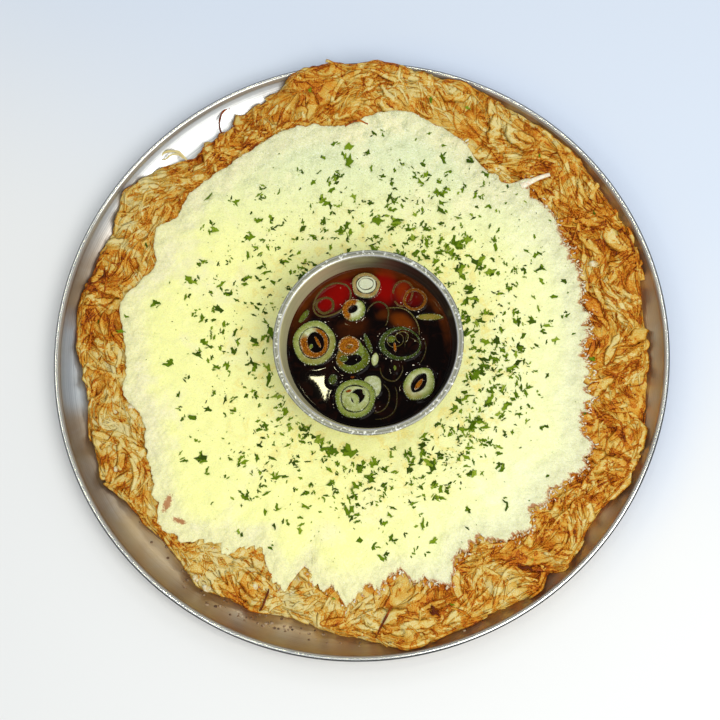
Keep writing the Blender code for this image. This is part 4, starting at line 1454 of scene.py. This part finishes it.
def makeParsley(finish):
    draw = np.random.default_rng(parsley["seed"])
    template = flakeFaces()
    points, faces, tones = [], [], []
    for x, y, scale in flakeSpots(draw):
        x, y = x * mm, y * mm
        flake = flakePoints(draw, scale)
        tone = draw.uniform(0, 0.85)
        radius, degrees = polar(x, y)
        onCheese = radius < float(cheeseLimit(degrees)) - 2 * mm
        onCrust = radius < float(outlineAt(crustEdge, degrees)) - 6 * mm
        if math.hypot(*fromBowl(x, y)) < bowl["radius"] + 2 * mm or not (onCheese or onCrust):
            continue
        height = cheeseHeight(x, y) + 0.25 * mm if onCheese else matHeight(x, y) + 0.9 * mm
        first = len(points) * len(flake)
        faces.extend(tuple(first + corner for corner in face) for face in template)
        points.append(flake + (x, y, float(height)))
        tones.append(np.full(len(flake), tone))
    mesh = bpy.data.meshes.new("parsleyFlakes")
    mesh.from_pydata(np.concatenate(points).tolist(), [], faces)
    herbs = newPiece("parsleyFlakes", mesh)
    writeNumbers(herbs, "tone", np.concatenate(tones))
    place(herbs, finish)


view = {"at": (46.73 * mm, -192.7 * mm, 762.31 * mm), "towards": (1.142 * mm, -7.32 * mm, 13 * mm),
        "lens": 72.5, "sensor": 36}


def makeCamera():
    lens = bpy.data.cameras.new("viewCamera")
    lens.lens = view["lens"]
    lens.sensor_width = view["sensor"]
    camera = newPiece("viewCamera", lens)
    at = Vector(view["at"])
    backward = (at - Vector(view["towards"])).normalized()
    right = Vector((0, 1, 0)).cross(backward).normalized()
    up = backward.cross(right)
    camera.matrix_world = Matrix.Translation(at) @ Matrix((right, up, backward)).transposed().to_4x4()
    bpy.context.scene.camera = camera


# the room: strength and tint of its light, and the table's colours near and far; the far colour is a painted
# falloff of the light, and shade is a painted shadow beside the tray
room = {"light": 0.56, "tint": (243, 248, 255), "near": (228, 229, 228), "far": (209, 219, 233),
        "shade": (198, 212, 235), "shadeTowards": (0.87, 0.50, 0)}
# lamps: places and sizes in metres, power in watts
windowLamp = {"at": (0.45, -0.40, 0.90), "size": (0.7, 0.6), "power": 6.8, "tint": (1, 0.98, 0.94)}
longLamps = {"round": (30, 90, 150, 210, 255), "reach": 0.8, "height": 0.95, "size": (0.85, 0.07),
             "power": 0.6, "tint": (1, 1, 0.97)}
cornerLamp = {"bars": 8, "side": 0.040, "at": (-0.1205, 0.3060, 1.40), "power": 950, "tint": (1, 0.95, 0.57),
              "turn": 9, "edges": ((0.18, 0.983), (0.987, 0.157))}
sparkLamps = {"at": ((0.25, 0.35, 1.3), (-0.34, -0.16, 1.2), (0.36, -0.08, 1.3)), "size": (0.03, 0.03),
              "power": 0.2, "tint": (1, 1, 0.97)}


def makeLight(name, at, values, towards=(0, 0, 0), turn=0):
    lamp = bpy.data.lights.new(name, "AREA")
    lamp.shape = "RECTANGLE"
    lamp.size, lamp.size_y = values["size"]
    lamp.energy = values["power"]
    lamp.color = values["tint"]
    holder = newPiece(name, lamp)
    holder.location = at
    facing = (Vector(at) - Vector(towards)).to_track_quat("Z", "Y")
    holder.rotation_euler = (facing @ Quaternion((0, 0, 1), math.radians(turn))).to_euler()


# a small three-cornered lamp, as bars that grow narrower
def makeCornerLamp():
    side = cornerLamp["side"]
    startX, startY, height = cornerLamp["at"]
    depth = side / cornerLamp["bars"]
    (upX, upY), (acrossX, acrossY) = cornerLamp["edges"]
    for bar in range(cornerLamp["bars"]):
        share = (bar + 0.5) / cornerLamp["bars"]
        width = side * (1 - share)
        x = startX - upX * side * share - acrossX * width / 2
        y = startY - upY * side * share - acrossY * width / 2
        values = {**cornerLamp, "size": (width, depth), "power": cornerLamp["power"] * width * depth}
        makeLight("cornerLamp", (x, y, height), values, (x, 0, 0.03), cornerLamp["turn"])


def makeTable():
    top = Finish("paleTable", Roughness=0.6)
    spot = top.spot()
    reach = top.vector("LENGTH", (spot,), 1)
    # painted shadow beside the tray, towards its right
    beside = (1 - reach.between(0.162, 0.196)) * top.along(spot, room["shadeTowards"]).between(0.02, 0.13)
    # painted falloff of light: the table darker and bluer towards the back
    top.body = top.blend(top.along(spot, (0.45, 0.9, 0)).between(-0.04, 0.17), room["near"], room["far"])
    top.cover(0.7 * beside, room["shade"])
    top.drive("Base Color", top.body)
    deselectAll()
    bpy.ops.mesh.primitive_plane_add(size=6, location=(0, 0, -0.2 * mm))
    table = bpy.context.object
    table.name = "table"
    table.data.materials.append(top.material)


def makeSetting():
    makeTable()
    world = bpy.data.worlds.new("room")
    bpy.context.scene.world = world
    world.use_nodes = True
    background = world.node_tree.nodes["Background"]
    background.inputs["Color"].default_value = displayed(*room["tint"])
    background.inputs["Strength"].default_value = room["light"]
    makeLight("highWindow", windowLamp["at"], windowLamp)
    for degrees in longLamps["round"]:
        x, y = onRing(longLamps["reach"], math.radians(degrees))
        makeLight("longLamp", (x, y, longLamps["height"]), longLamps)
    makeCornerLamp()
    for at in sparkLamps["at"]:
        makeLight("sparkLamp", at, sparkLamps)
    bpy.context.scene.view_settings.view_transform = "Standard"


print("tray")
makeTray()
print("pancake")
crustSkin = crustFinish("friedPotato")
makeCore(crustSkin)
makeShreds(crustSkin)
makeFlats(crustSkin)
makeEdgeShreds(crustSkin)
makeStrays(crustSkin)
print("cheese")
cheeseSkin = cheeseFinish()
makeCheese(cheeseSkin)
makeCheeseThreads()
print("bowl and sauce")
makeBowl()
makeSauce(sauceFinish())
print("scallions")
sliceSkin = sliceFinish()
for index, values in enumerate(slices):
    dark = values["name"] in ("scallion_dark_ring", "scallion_far_ring")
    makeSlice(values, sliceSkin, index, "scallion_green" if dark else "scallion", (values["name"],))
for index, values in enumerate(looseBits):
    makeSlice(values, sliceSkin, index + len(slices))
makeThinEdges(sliceSkin)
makeAllDrops()
print("parsley")
makeParsley(parsleyFinish())
print("camera and light")
makeSetting()
makeCamera()
